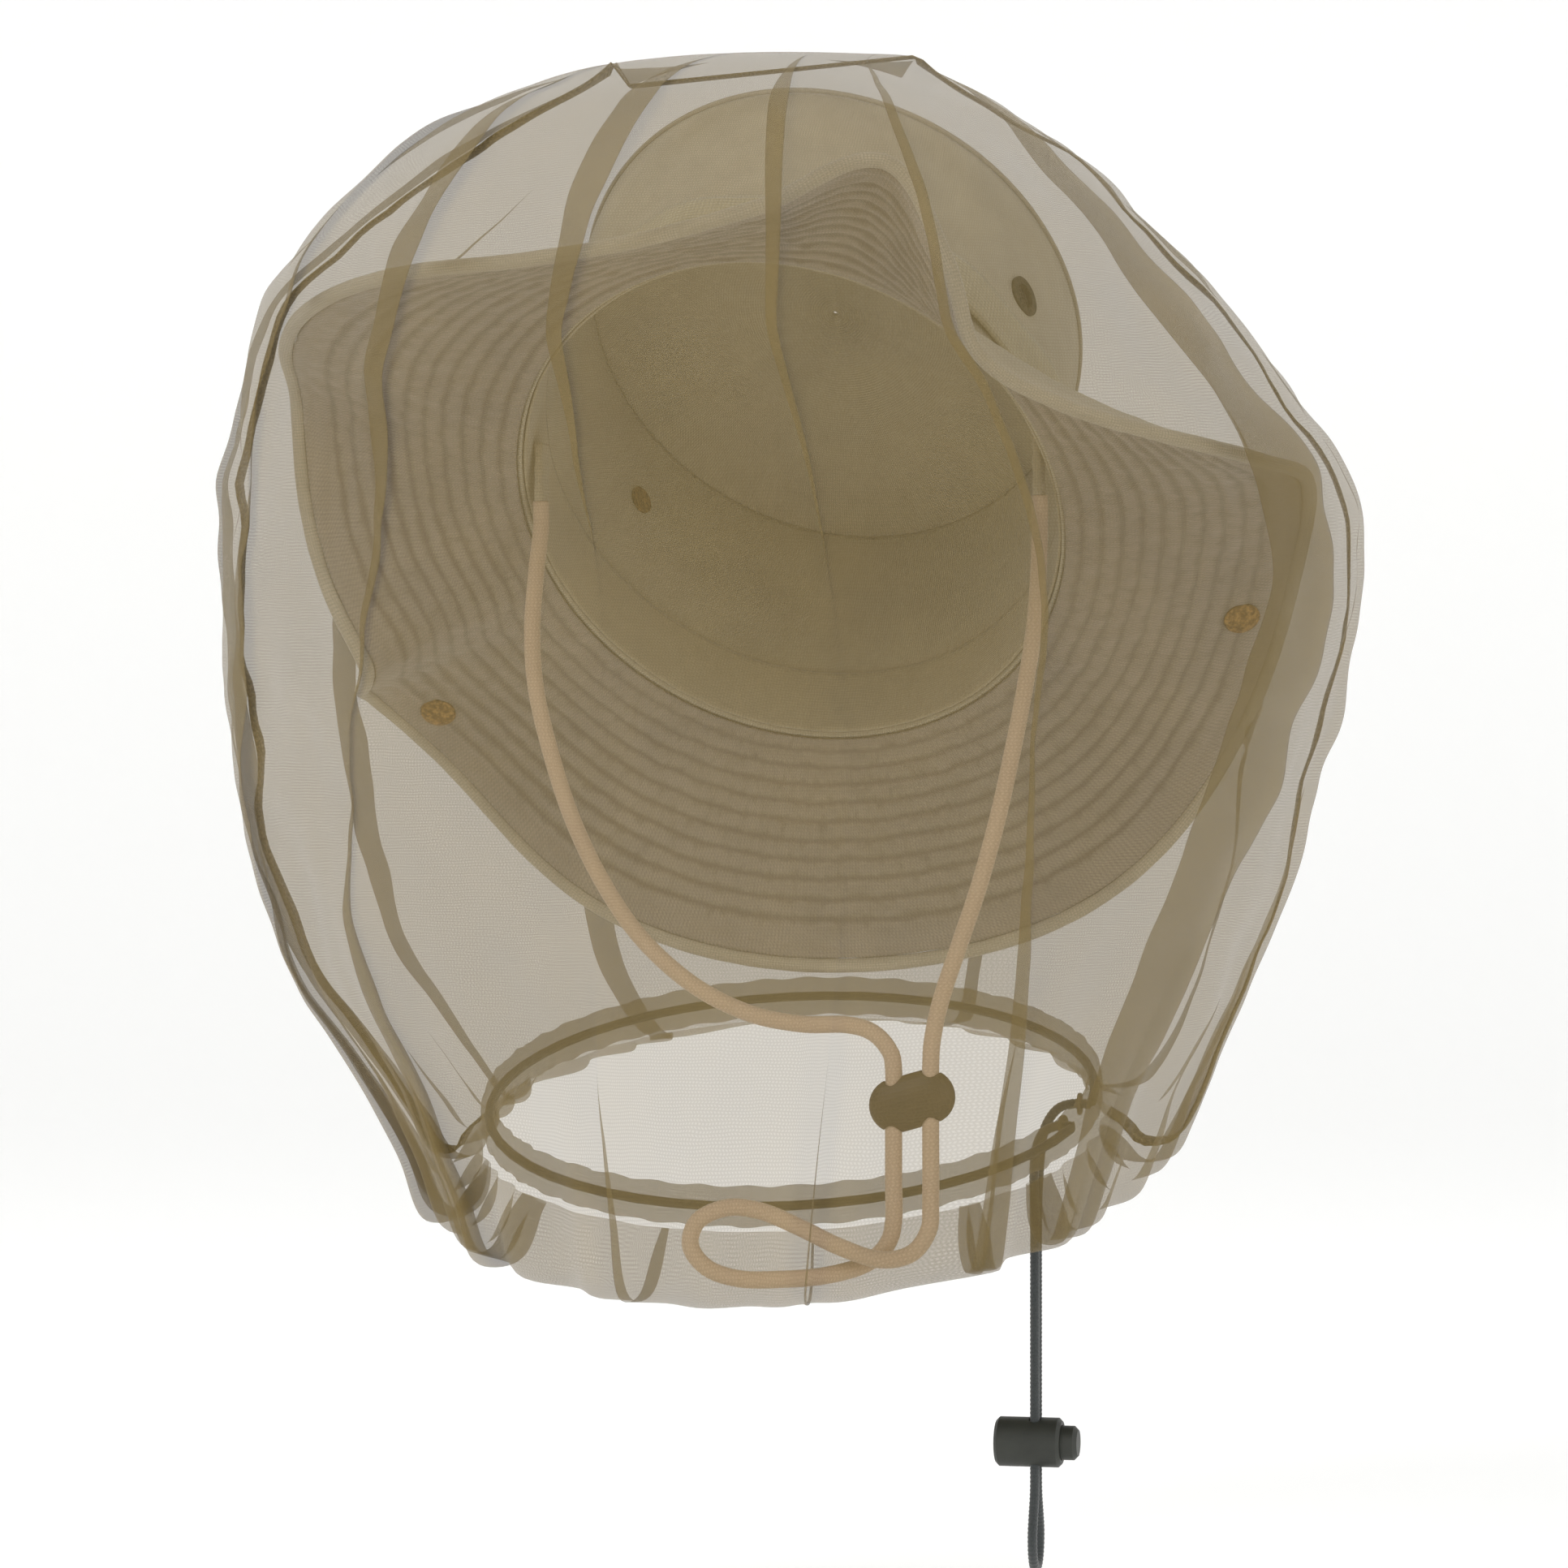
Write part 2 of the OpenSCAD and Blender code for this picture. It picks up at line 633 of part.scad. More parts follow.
module cord_lock_plunger() color([0.16, 0.17, 0.15]) {
    reach = barrel_inner + lock_l + plunger_out - plunger_inner;
    edge = 1.2;
    difference() {
        lock_axis() translate([0, 0, plunger_inner]) rotate_extrude() polygon([
            [0, 0], [plunger_d / 2, 0], [plunger_d / 2, reach - edge],
            [plunger_d / 2 - edge, reach], [0, reach]
        ]);
        translate(lock_at + [plunger_inner + plunger_wall, -slot_y / 2, -lock_d])
            cube([draw_d + 0.2 + plunger_travel, slot_y, 2 * lock_d]);
    }
}

module cord_lock_spring() color([0.6, 0.6, 0.6]) {
    wire = 0.6;
    coil_d = 7.4;
    turns = 3;
    low = barrel_inner + lock_wall + wire / 2 + 0.05;
    high = plunger_inner - wire / 2 - 0.05;
    steps = turns * 14;
    lock_axis()
        cord([
            for (i = [0:steps])
                let (q = 360 * turns * i / steps)
                [coil_d / 2 * cos(q), coil_d / 2 * sin(q), lerp(low, high, i / steps)]
        ], wire, [0, 0, 1], 6);
}

crown_side();
crown_top();
sweatband();
hat_band();
vent_ring(1);  // vent_ring_left
vent_ring(-1);  // vent_ring_right
vent_screen(1);  // vent_screen_left
vent_screen(-1);  // vent_screen_right
brim_top();
brim_underside();
brim_binding();
snap_cap(1);  // snap_cap_left
snap_cap(-1);  // snap_cap_right
snap_socket(1);  // snap_socket_left
snap_socket(-1);  // snap_socket_right
crown_stud(1);  // crown_stud_left
crown_stud(-1);  // crown_stud_right
stud_post(1);  // stud_post_left
stud_post(-1);  // stud_post_right
chin_cord_tab(1);  // chin_cord_tab_left
chin_cord_tab(-1);  // chin_cord_tab_right
chin_cord();
chin_cord_slider();
net_front();
net_back();
net_seam();
neck_hem();
drawcord_in_hem();
hem_eyelet(exit_front);  // hem_eyelet_front
hem_eyelet(exit_back);  // hem_eyelet_back
drawcord_loop();
cord_lock_barrel();
cord_lock_plunger();
cord_lock_spring();
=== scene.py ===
from math import cos, pi, radians, sin

import bmesh
import bpy
import numpy as np
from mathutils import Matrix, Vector, noise


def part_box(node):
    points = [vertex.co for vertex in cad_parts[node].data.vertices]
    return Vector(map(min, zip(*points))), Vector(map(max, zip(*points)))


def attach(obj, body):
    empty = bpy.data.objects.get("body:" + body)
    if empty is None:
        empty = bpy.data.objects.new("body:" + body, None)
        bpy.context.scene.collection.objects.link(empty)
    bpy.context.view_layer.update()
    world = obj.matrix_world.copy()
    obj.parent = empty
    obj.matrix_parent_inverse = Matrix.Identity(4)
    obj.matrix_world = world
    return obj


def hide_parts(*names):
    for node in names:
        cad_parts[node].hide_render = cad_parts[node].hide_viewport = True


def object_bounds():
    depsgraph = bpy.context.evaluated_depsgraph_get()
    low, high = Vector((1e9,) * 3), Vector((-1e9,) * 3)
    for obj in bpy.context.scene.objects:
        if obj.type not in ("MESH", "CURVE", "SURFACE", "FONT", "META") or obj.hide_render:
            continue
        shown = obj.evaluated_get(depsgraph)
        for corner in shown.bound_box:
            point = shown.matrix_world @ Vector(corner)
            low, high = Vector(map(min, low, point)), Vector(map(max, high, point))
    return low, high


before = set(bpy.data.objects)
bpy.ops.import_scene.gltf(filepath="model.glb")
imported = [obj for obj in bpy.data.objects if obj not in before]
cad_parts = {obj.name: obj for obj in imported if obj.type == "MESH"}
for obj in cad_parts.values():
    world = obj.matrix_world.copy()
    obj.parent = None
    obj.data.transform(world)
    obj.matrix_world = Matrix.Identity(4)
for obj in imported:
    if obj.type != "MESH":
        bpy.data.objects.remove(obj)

# Metres, +Z up, -Y the way the wearer faces, +X the wearer's left. An angle round the hat is in
# degrees from the front, positive towards +X.
cad_low, cad_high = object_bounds()
MM = 0.001

# ---- sizes of the hat ------------------------------------------------------

CROWN_W, CROWN_D, CROWN_H = 0.170, 0.198, 0.088
CROWN_TAPER = 0.006
TIP_RISE = 0.005
CLOTH = 0.0012
HAT_TILT = radians(45)
SWEAT_H = 0.026
BAND_Z, BAND_W, BAND_LOOP, BAND_LOOPS = 0.011, 0.020, 0.0024, 12
VENT_A, VENT_Z, VENT_D = 62, 0.045, 0.010
BRIM_W, BRIM_T, BRIM_CURL = 0.072, 0.0009, 1.25
BRIM_GIRTH = 0.86                    # of the brim's edge
BINDING_D = 0.0046
QUILT_ROW = 6.2 * MM
BRIM_CLOTH = 0.5 * MM
TOUCH = 0.0001

# The brim's wave: place round the hat, droop in degrees, how much wider than BRIM_W in mm
BRIM_WAVE = np.array([
    (-180, 40, -1), (-152, 26, 3), (-131, 4, 4), (-116, 5, 4), (-104, 30, -10), (-92, 6, -6),
    (-78, -12, 0), (-64, 2, 0), (-50, 18, 0), (-35, 33, 0), (-20, 44, 0), (-5, 46, 0),
    (9, 38, 0), (20, 23, 1), (29, 38, 0), (37, 53, -1), (49, 52, -1), (62, 40, 0),
    (76, 19, 0), (90, -6, 0), (108, -17, 0), (130, -6, 2), (150, 24, 1), (167, 38, -1),
], float)

# ---- sizes of the net, hem and cords ---------------------------------------

HEM_RX, HEM_RY, HEM_Z, HEM_DROP = 0.094, 0.075, -0.181, 0.028
HEM_H, HEM_T = 0.012, 0.005
SEAM_RIGHT, SEAM_LEFT = -88, 104
SEAM_W = 0.008
RIDGE = (-0.050, 0.036, -0.004, 0.139)      # its ends in X, its place in Y, its height
RIDGE_SAG = 0.008
# Rings of the net before it drapes: height, drop at the front, reach to -X and to +X, half depth,
# middle in Y
NET_RINGS = np.array([
    (0.131, 0, 0.058, 0.046, 0.052, -0.014), (0.120, 0, 0.078, 0.066, 0.106, -0.016),
    (0.107, 0, 0.100, 0.086, 0.137, -0.016), (0.090, 0, 0.124, 0.104, 0.149, -0.014),
    (0.068, 0, 0.149, 0.125, 0.153, -0.012), (0.040, 0, 0.162, 0.147, 0.154, -0.011),
    (0.008, 0, 0.168, 0.167, 0.151, -0.008), (-0.018, 0, 0.170, 0.171, 0.148, -0.006),
    (-0.050, 0, 0.169, 0.166, 0.145, -0.004), (-0.084, 0, 0.167, 0.156, 0.140, -0.002),
    (-0.117, 0.002, 0.160, 0.147, 0.134, 0), (-0.145, 0.006, 0.147, 0.137, 0.126, 0),
    (-0.168, 0.014, 0.128, 0.127, 0.118, 0), (-0.187, 0.026, 0.114, 0.118, 0.112, 0),
    (-0.198, 0.037, 0.106, 0.110, 0.106, 0), (-0.1985, 0.037, 0.100, 0.102, 0.089, 0),
    (-0.1882, 0.028, 0.094, 0.094, 0.075, 0),
])
CHIN_D, DRAW_D = 0.005, 0.003
CHIN_ROUTE = np.array([
    (-78.5, -4, 3), (-78.5, -4, -6), (-79, -8, -20), (-78, -16, -38), (-74, -26, -56),
    (-67, -34, -76), (-58, -42, -96), (-46, -51, -115), (-32, -60, -131), (-15, -67, -144),
    (3, -73, -152), (20, -77, -155), (34, -79, -155), (42, -80, -157), (47, -80, -162),
    (48.5, -80, -168), (48.5, -80, -186), (48.5, -80, -200), (48.5, -80, -212),
    (46.5, -80.5, -219), (40.5, -83, -224.5), (30, -87.5, -227.5), (18, -91, -228.5),
    (6, -93, -228.5), (-3.5, -94.5, -225.5), (-8.5, -95.5, -219), (-6, -96.5, -211.5),
    (3, -97, -207.5), (13, -96.5, -208.5), (24, -95.5, -213), (35, -93, -218.5),
    (46, -88.5, -222.5), (54.5, -84, -221), (59, -80.8, -214.5), (59.5, -80, -206),
    (59.5, -80, -186), (59.5, -80, -167), (60, -79, -158), (62, -76, -147), (66, -70, -132),
    (70.5, -61, -114), (74, -51, -95), (76.5, -41, -76), (78.5, -30, -56), (79.5, -19, -37),
    (79, -9, -20), (78.5, -4, -6), (78.5, -4, 3),
]) * MM
DRAW_ROUTE = np.array([
    (91.2, -18.1, -187.8), (86, -17, -187.8), (81.6, -16, -190), (79.2, -15, -195.5),
    (78.5, -13.9, -203), (78.5, -13, -213), (78.5, -12.6, -222), (78.5, -12.6, -240),
    (78.5, -12.6, -258), (78.5, -12.6, -276), (78.5, -12.6, -294), (78.5, -13.2, -300),
    (78.5, -15.4, -306), (78.5, -17, -311.5), (78.5, -16.4, -317), (78.5, -14, -320.8),
    (78.5, -10.5, -322), (78.5, -7, -320.8), (78.5, -4.6, -317), (78.5, -4, -311.5),
    (78.5, -5.6, -306), (78.5, -7.8, -300), (78.5, -8.4, -294), (78.5, -8.4, -276),
    (78.5, -8.4, -258), (78.5, -8.4, -240), (78.5, -8.4, -222), (78.5, -7.7, -211),
    (79, -6.3, -199), (80, -4.7, -190), (83.4, -3.4, -184), (88, -2.8, -182), (93.9, -2.6, -182),
]) * MM

# ---- mesh helpers ----------------------------------------------------------


def unit(v):
    return v / np.linalg.norm(v, axis=-1, keepdims=True)


def make_mesh(name, verts, faces, corner_uv=None):
    mesh = bpy.data.meshes.new(name)
    mesh.from_pydata([tuple(v) for v in np.asarray(verts)], [], faces)
    if corner_uv is not None:
        layer = mesh.uv_layers.new(name="cloth")
        layer.data.foreach_set("uv", np.asarray(corner_uv, np.float32).ravel())
    mesh.shade_smooth()
    obj = bpy.data.objects.new(name, mesh)
    bpy.context.scene.collection.objects.link(obj)
    return obj


def grid(name, points, along, across, ring_u=False, ring_v=False):
    """A mesh over points[u, v]. along[u] and across[v] are cloth lengths, one more in a closed
    direction than there are points."""
    nu, nv = points.shape[:2]
    faces, uv = [], []
    for i in range(nu if ring_u else nu - 1):
        for j in range(nv if ring_v else nv - 1):
            i2, j2 = (i + 1) % nu, (j + 1) % nv
            faces.append((i * nv + j, i2 * nv + j, i2 * nv + j2, i * nv + j2))
            uv += [(along[i], across[j]), (along[i + 1], across[j]),
                   (along[i + 1], across[j + 1]), (along[i], across[j + 1])]
    return make_mesh(name, points.reshape(-1, 3), faces, uv)


def apply_all(obj):
    """Replaces the object's mesh by what its modifiers make of it."""
    bpy.context.view_layer.update()
    done = bpy.data.meshes.new_from_object(obj.evaluated_get(bpy.context.evaluated_depsgraph_get()))
    obj.modifiers.clear()
    obj.data = done
    return obj


def solidify(obj, thickness, offset=-1):
    mod = obj.modifiers.new("thickness", "SOLIDIFY")
    mod.thickness, mod.offset = thickness, offset
    return obj


def fill_ends(obj):
    """Closes a tube's open ends."""
    bm = bmesh.new()
    bm.from_mesh(obj.data)
    bmesh.ops.holes_fill(bm, edges=[e for e in bm.edges if e.is_boundary])
    bm.to_mesh(obj.data)
    bm.free()


def finish_piece(obj, material, nodes, body="veil"):
    obj.data.materials.clear()
    obj.data.materials.append(material)
    if nodes:
        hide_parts(*nodes)
    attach(obj, body)
    return obj


def wobble(p, scale, seed):
    """Smooth noise from -1 to 1 at a point."""
    return noise.noise(Vector(p) / scale + Vector((seed, 2.3 * seed, 0.7 * seed)))


def smooth_route(route, step):
    """A smooth curve through the route's points, with points a step apart."""
    ext = np.vstack([2 * route[0] - route[1], route, 2 * route[-1] - route[-2]])
    fine = []
    for k in range(1, len(ext) - 2):
        p0, p1, p2, p3 = ext[k - 1:k + 3]
        for t in np.arange(0, 1, 0.05):
            fine.append(0.5 * (2 * p1 + (p2 - p0) * t + (2 * p0 - 5 * p1 + 4 * p2 - p3) * t * t
                               + (3 * p1 - p0 - 3 * p2 + p3) * t ** 3))
    fine = np.array(fine + [route[-1]])
    run = np.concatenate([[0], np.cumsum(np.linalg.norm(np.diff(fine, axis=0), axis=1))])
    at = np.linspace(0, run[-1], int(run[-1] / step) + 1)
    return np.stack([np.interp(at, run, fine[:, k]) for k in range(3)], 1), run[-1]


def tube(name, path, length, sides, radius_of, start):
    """A closed tube along a path. radius_of(along, turn) gives its radius."""
    n = len(path)
    t = unit(np.gradient(path, axis=0))
    side = np.array(start, float)
    verts = []
    for i in range(n):
        side = unit(side - t[i] * (side @ t[i]))
        other = np.cross(t[i], side)
        s = length * i / (n - 1)
        for j in range(sides):
            q = 2 * pi * j / sides
            verts.append(path[i] + radius_of(s, q) * (cos(q) * side + sin(q) * other))
    faces, uv = [], []
    step = length / (n - 1)
    girth = 2 * pi * radius_of(0, 0) / sides
    for i in range(n - 1):
        for j in range(sides):
            k = (j + 1) % sides
            faces.append((i * sides + j, i * sides + k, (i + 1) * sides + k, (i + 1) * sides + j))
            uv += [(i * step, j * girth), (i * step, (j + 1) * girth),
                   ((i + 1) * step, (j + 1) * girth), ((i + 1) * step, j * girth)]
    for ring, order in ((0, range(sides - 1, -1, -1)), (n - 1, range(sides))):
        faces.append(tuple(ring * sides + j for j in order))
        uv += [(ring * step, 0)] * sides
    return make_mesh(name, verts, faces, uv)


# ---- materials -------------------------------------------------------------


def srgb(r, g, b):
    c = np.array([r, g, b]) / 255
    return (*np.where(c <= 0.04045, c / 12.92, ((c + 0.055) / 1.055) ** 2.4), 1.0)


class Shader:
    """A material's node tree, with short calls for the nodes that the materials share."""

    def __init__(self, name, roughness=0.8, **fixed):
        self.mat = bpy.data.materials.new(name)
        self.mat.use_nodes = True
        self.tree = self.mat.node_tree
        self.bsdf = self.tree.nodes["Principled BSDF"]
        self.set(Roughness=roughness)
        for key, value in fixed.items():
            self.bsdf.inputs[key.replace("_", " ")].default_value = value

    @classmethod
    def over(cls, mat):
        """For more nodes on a material that is already made."""
        s = cls.__new__(cls)
        s.mat, s.tree = mat, mat.node_tree
        s.bsdf = s.tree.nodes["Principled BSDF"]
        return s

    def node(self, kind, *inputs, **props):
        n = self.tree.nodes.new("ShaderNode" + kind)
        for key, value in props.items():
            setattr(n, key, value)
        for k, value in enumerate(inputs):
            if value is not None:
                self.put(n.inputs[k], value)
        return n

    def put(self, socket, value):
        if isinstance(value, bpy.types.NodeSocket):
            self.tree.links.new(value, socket)
        else:
            socket.default_value = value

    def set(self, **inputs):
        for key, value in inputs.items():
            self.put(self.bsdf.inputs[key.replace("_", " ")], value)

    def math(self, op, a, b=None, c=None):
        return self.node("Math", a, b, c, operation=op).outputs[0]

    def ripple(self, x, pitch):
        """A sine of x, from -1 to 1, once in each pitch."""
        return self.math("SINE", self.math("MULTIPLY", x, 2 * pi / pitch))

    def coords(self, which="UV"):
        out = self.node("TexCoord").outputs[which]
        xyz = self.node("SeparateXYZ", out)
        return out, xyz.outputs[0], xyz.outputs[1], xyz.outputs[2]

    def half(self, x):
        """Brings -1..1 to 0..1."""
        return self.math("MULTIPLY_ADD", x, 0.5, 0.5)

    def noise(self, vector, size, detail=3, rough=0.55):
        n = self.node("TexNoise", vector)
        n.inputs["Scale"].default_value = 1 / size
        n.inputs["Detail"].default_value = detail
        n.inputs["Roughness"].default_value = rough
        return n.outputs["Fac"]

    def ramp(self, fac, *stops):
        n = self.node("ValToRGB", fac)
        while len(n.color_ramp.elements) < len(stops):
            n.color_ramp.elements.new(0.5)
        for e, (at, colour) in zip(n.color_ramp.elements, stops):
            e.position, e.color = at, colour
        return n.outputs[0]

    def mix(self, fac, a, b, blend="MIX"):
        n = self.node("Mix", data_type="RGBA", blend_type=blend)
        self.put(n.inputs["Factor"], fac)
        self.put(n.inputs[6], a)
        self.put(n.inputs[7], b)
        return n.outputs[2]

    def bump(self, height, distance, strength=1.0):
        n = self.node("Bump")
        n.inputs["Strength"].default_value = strength
        n.inputs["Distance"].default_value = distance
        self.put(n.inputs["Height"], height)
        self.set(Normal=n.outputs[0])


def shade(colour, k):
    return (colour[0] * k, colour[1] * k, colour[2] * k, 1.0)


MOTTLE = 0.012                       # size of the patches where cotton has faded


def woven(name, colour, pitch=0.9 * MM, twill=True, relief=0.12 * MM):
    """Cotton cloth: threads at a pitch, twill or plain, with a worn, uneven colour and painted shade between
    the threads.
    """
    s = Shader(name, 0.92, Sheen_Weight=0.4, Sheen_Roughness=0.6, Specular_IOR_Level=0.2)
    place, u, v, w = s.coords()
    across = s.math("ADD", u, v) if twill else v
    warp = s.half(s.ripple(across, pitch))
    weft = s.half(s.ripple(u, pitch))
    threads = s.math("MULTIPLY", s.math("ADD", warp, weft), 0.5)
    slub = s.noise(place, 3 * pitch, 2)
    height = s.math("ADD", threads, s.math("MULTIPLY", slub, 0.6))
    blotch = s.noise(place, MOTTLE, 4, 0.6)
    base = s.ramp(blotch, (0.3, shade(colour, 0.86)), (0.7, shade(colour, 1.1)))
    # The gaps between the threads are darkened to 0.72 of the colour: painted shade in the weave's hollows.
    s.set(Base_Color=s.mix(threads, shade(colour, 0.72), base))
    s.bump(height, relief)
    return s.mat


NET_PITCH = 1.0 * MM
NET_OLIVE = srgb(122, 104, 62)
HOLE_ALPHA, YARN_ALPHA = 0.36, 0.13  # alpha in a hole, and how much the yarn adds


def net_material(name):
    """Fine knitted mesh: rows of stitches with holes between, see-through where there is no yarn."""
    s = Shader(name, 0.6, Sheen_Weight=0.1, Sheen_Roughness=0.5, Specular_IOR_Level=0.2)
    place, u, v, w = s.coords()
    drift = s.math("MULTIPLY", s.noise(place, 20 * MM, 2), 3 * MM)
    u, v = s.math("ADD", u, drift), s.math("ADD", v, drift)
    rows = s.half(s.ripple(v, NET_PITCH))
    shift = s.math("MULTIPLY", s.ripple(v, 2 * NET_PITCH), 1.4)
    columns = s.half(s.math("SINE", s.math("ADD", s.math("MULTIPLY", u, 2 * pi / NET_PITCH), shift)))
    yarn = s.math("MAXIMUM", rows, columns)
    alpha = s.math("MULTIPLY_ADD", yarn, YARN_ALPHA, HOLE_ALPHA)
    tone = s.noise(place, 40 * MM, 3)
    s.set(Base_Color=s.ramp(tone, (0.3, shade(NET_OLIVE, 0.92)), (0.7, shade(NET_OLIVE, 1.08))), Alpha=alpha)
    s.bump(yarn, 0.06 * MM, 0.5)
    return s.mat


def quilted(name, colour):
    """The brim's lining: rows of stitching with puckers between, and a plain stitched edge."""
    s = Shader.over(woven(name, colour, 1.1 * MM, relief=0.15 * MM))
    place, u, v, w = s.coords()
    drift = s.math("MULTIPLY", s.noise(place, 14 * MM, 2), 2.4 * MM)
    row = s.math("ABSOLUTE", s.math("SINE", s.math("MULTIPLY", s.math("ADD", v, drift), pi / QUILT_ROW)))
    drawn = s.node("VectorMath", place, (1.0, 0.55, 1.0), operation="MULTIPLY").outputs[0]
    raised = s.math("MULTIPLY", row, s.noise(drawn, 3.2 * MM, 2))
    plain = s.ramp(s.math("DIVIDE", v, BRIM_W), (0.885, (0, 0, 0, 1)), (0.9, (1, 1, 1, 1)))
    quilt = s.mix(plain, raised, (0.42, 0.42, 0.42, 1))
    shadow = s.ramp(quilt, (0.08, (0.62, 0.6, 0.58, 1)), (0.42, (1, 1, 1, 1)))
    base = s.bsdf.inputs["Base Color"].links[0].from_socket
    s.set(Base_Color=s.mix(1.0, base, shadow, "MULTIPLY"))
    return s.mat


def seam_material():
    s = Shader("overlocked_seam", 0.85, Sheen_Weight=0.2)
    place, u, v, w = s.coords()
    loops = s.half(s.ripple(u, 1.6 * MM))
    speck = s.noise(place, 1.1 * MM, 3, 0.7)
    threads = s.math("MULTIPLY", loops, speck)
    s.set(Base_Color=s.ramp(speck, (0.35, srgb(78, 66, 38)), (0.52, srgb(108, 92, 58)),
                            (0.68, srgb(150, 136, 100))))
    s.bump(threads, 0.4 * MM)
    return s.mat


def cord_material(name, colour, dark, strand):
    s = Shader(name, 0.88, Sheen_Weight=0.35, Sheen_Roughness=0.6, Specular_IOR_Level=0.2)
    place, u, v, w = s.coords()
    fibre = s.noise(place, strand, 3, 0.7)
    soil = s.noise(place, 20 * MM, 3)
    s.set(Base_Color=s.mix(soil, s.ramp(fibre, (0.35, dark), (0.65, colour)), colour))
    s.bump(fibre, 0.15 * MM, 0.8)
    return s.mat


def metal_material(name, colour, worn, roughness=0.34):
    s = Shader(name, roughness, Metallic=1.0)
    place = s.coords("Object")[0]
    spots = s.noise(place, 1.6 * MM, 5, 0.65)
    fine = s.noise(place, 0.35 * MM, 3)
    s.set(Base_Color=s.ramp(spots, (0.38, colour), (0.62, worn)))
    s.set(Roughness=s.math("MULTIPLY_ADD", fine, 0.25, roughness - 0.1))
    s.bump(fine, 0.03 * MM, 0.5)
    return s.mat


def plastic_material(name, colour, grain=0.35 * MM, roughness=0.5):
    s = Shader(name, roughness, Specular_IOR_Level=0.45)
    place = s.coords("Object")[0]
    fine = s.noise(place, grain, 2)
    tone = s.noise(place, 5 * MM, 3)
    s.set(Base_Color=s.ramp(tone, (0.3, shade(colour, 0.85)), (0.7, shade(colour, 1.15))))
    s.bump(fine, 0.05 * MM, 0.7)
    return s.mat


def screen_material(name):
    """Woven wire gauze: wires both ways, with the squares between them painted near black as painted shade
    of the hat's inside seen through the holes.
    """
    s = Shader(name, 0.45, Metallic=0.8)
    place, x, y, z = s.coords("Object")
    pitch = 1.3 * MM
    a = s.half(s.ripple(y, pitch))
    b = s.half(s.ripple(z, pitch))
    wires = s.math("MAXIMUM", a, b)
    # The squares between the wires are painted near black, not cut open: painted shade seen through the
    # holes.
    s.set(Base_Color=s.ramp(wires, (0.45, srgb(24, 22, 18)), (0.8, srgb(92, 88, 74))))
    s.bump(wires, 0.2 * MM)
    return s.mat


HAT_CLOTH = woven("hat_twill", srgb(196, 186, 163))
# The lining gets a darker, greyer colour than the hat's top cloth: painted shade of the brim's underside.
SHADED_LINING = quilted("brim_lining_cotton_painted_shade", srgb(162, 152, 140))
TRIM = woven("binding_cotton", srgb(192, 183, 164), 0.8 * MM, twill=False)
TAPE = woven("sweatband_tape", srgb(186, 174, 148), 1.0 * MM, twill=False)
WEBBING = woven("band_webbing", srgb(196, 186, 158), 1.5 * MM, twill=False, relief=0.25 * MM)
NET = net_material("net_mesh")
SEAM = seam_material()
HEM = net_material("hem_mesh")
HEM.node_tree.nodes["Principled BSDF"].inputs["Sheen Weight"].default_value = 0.2
COTTON = cord_material("cotton_braid", srgb(216, 190, 164), srgb(182, 154, 128), 0.7 * MM)
ELASTIC = cord_material("elastic_braid", srgb(58, 62, 62), srgb(24, 27, 28), 0.5 * MM)
THREAD = cord_material("eyelet_thread", srgb(120, 104, 68), srgb(76, 64, 38), 0.5 * MM)
BRONZE = metal_material("antique_bronze", srgb(96, 68, 36), srgb(176, 138, 86))
ENAMEL = metal_material("dark_enamel", srgb(54, 50, 38), srgb(96, 90, 72), 0.5)
STEEL = metal_material("spring_steel", srgb(150, 150, 150), srgb(190, 190, 188), 0.28)
BROWN = plastic_material("slider_plastic", srgb(74, 60, 38))
BLACK = plastic_material("lock_plastic", srgb(42, 44, 38))
GAUZE = screen_material("vent_gauze")

# ---- camera ----------------------------------------------------------------

CAMERA_TURN = radians(12.6)
CAMERA_FAR = 1.6
CAMERA_Z = -0.0848
CAMERA_SIDE = -0.002
VIEW_WIDTH = 0.483


def make_camera():
    data = bpy.data.cameras.new("camera")
    data.sensor_width = 36
    data.lens = data.sensor_width * CAMERA_FAR / VIEW_WIDTH
    cam = bpy.data.objects.new("camera", data)
    right = Vector((cos(CAMERA_TURN), sin(CAMERA_TURN), 0))
    ahead = Vector((-sin(CAMERA_TURN), cos(CAMERA_TURN), 0))
    cam.location = right * CAMERA_SIDE - ahead * CAMERA_FAR + Vector((0, 0, CAMERA_Z))
    cam.rotation_euler = ahead.to_track_quat("-Z", "Y").to_euler()
    bpy.context.scene.collection.objects.link(cam)
    bpy.context.scene.camera = cam


make_camera()

# ---- cords -----------------------------------------------------------------


def braid(along, turn):
    """A round braid of sixteen ends: the strands cross in both directions."""
    lay = 2 * pi * along / (7 * MM)
    one = abs(cos(4 * turn + lay * 2.5))
    two = abs(cos(4 * turn - lay * 2.5))
    return CHIN_D / 2 * (0.93 + 0.09 * max(one, two))


def ribbed(along, turn):
    return DRAW_D / 2 * (0.96 + 0.05 * cos(2 * pi * along / (1.3 * MM)))


chin_path, chin_length = smooth_route(CHIN_ROUTE, 0.5 * MM)
chin_cord = tube("chin_cord_braid", chin_path, chin_length, 24, braid, (0, 1, 0))
finish_piece(chin_cord, COTTON, ["chin_cord"])
draw_path, draw_length = smooth_route(DRAW_ROUTE, 0.32 * MM)
drawcord = tube("drawcord_loop_elastic", draw_path, draw_length, 14, ribbed, (0, 0, 1))
finish_piece(drawcord, ELASTIC, ["drawcord_loop"])

# ---- hat shapes ------------------------------------------------------------


def worn(p):
    """From the hat's own frame, its mouth level, to the frame that it is worn in."""
    y, z = p[..., 1], p[..., 2]
    return np.stack([p[..., 0], y * cos(HAT_TILT) + z * sin(HAT_TILT),
                     z * cos(HAT_TILT) - y * sin(HAT_TILT)], -1)


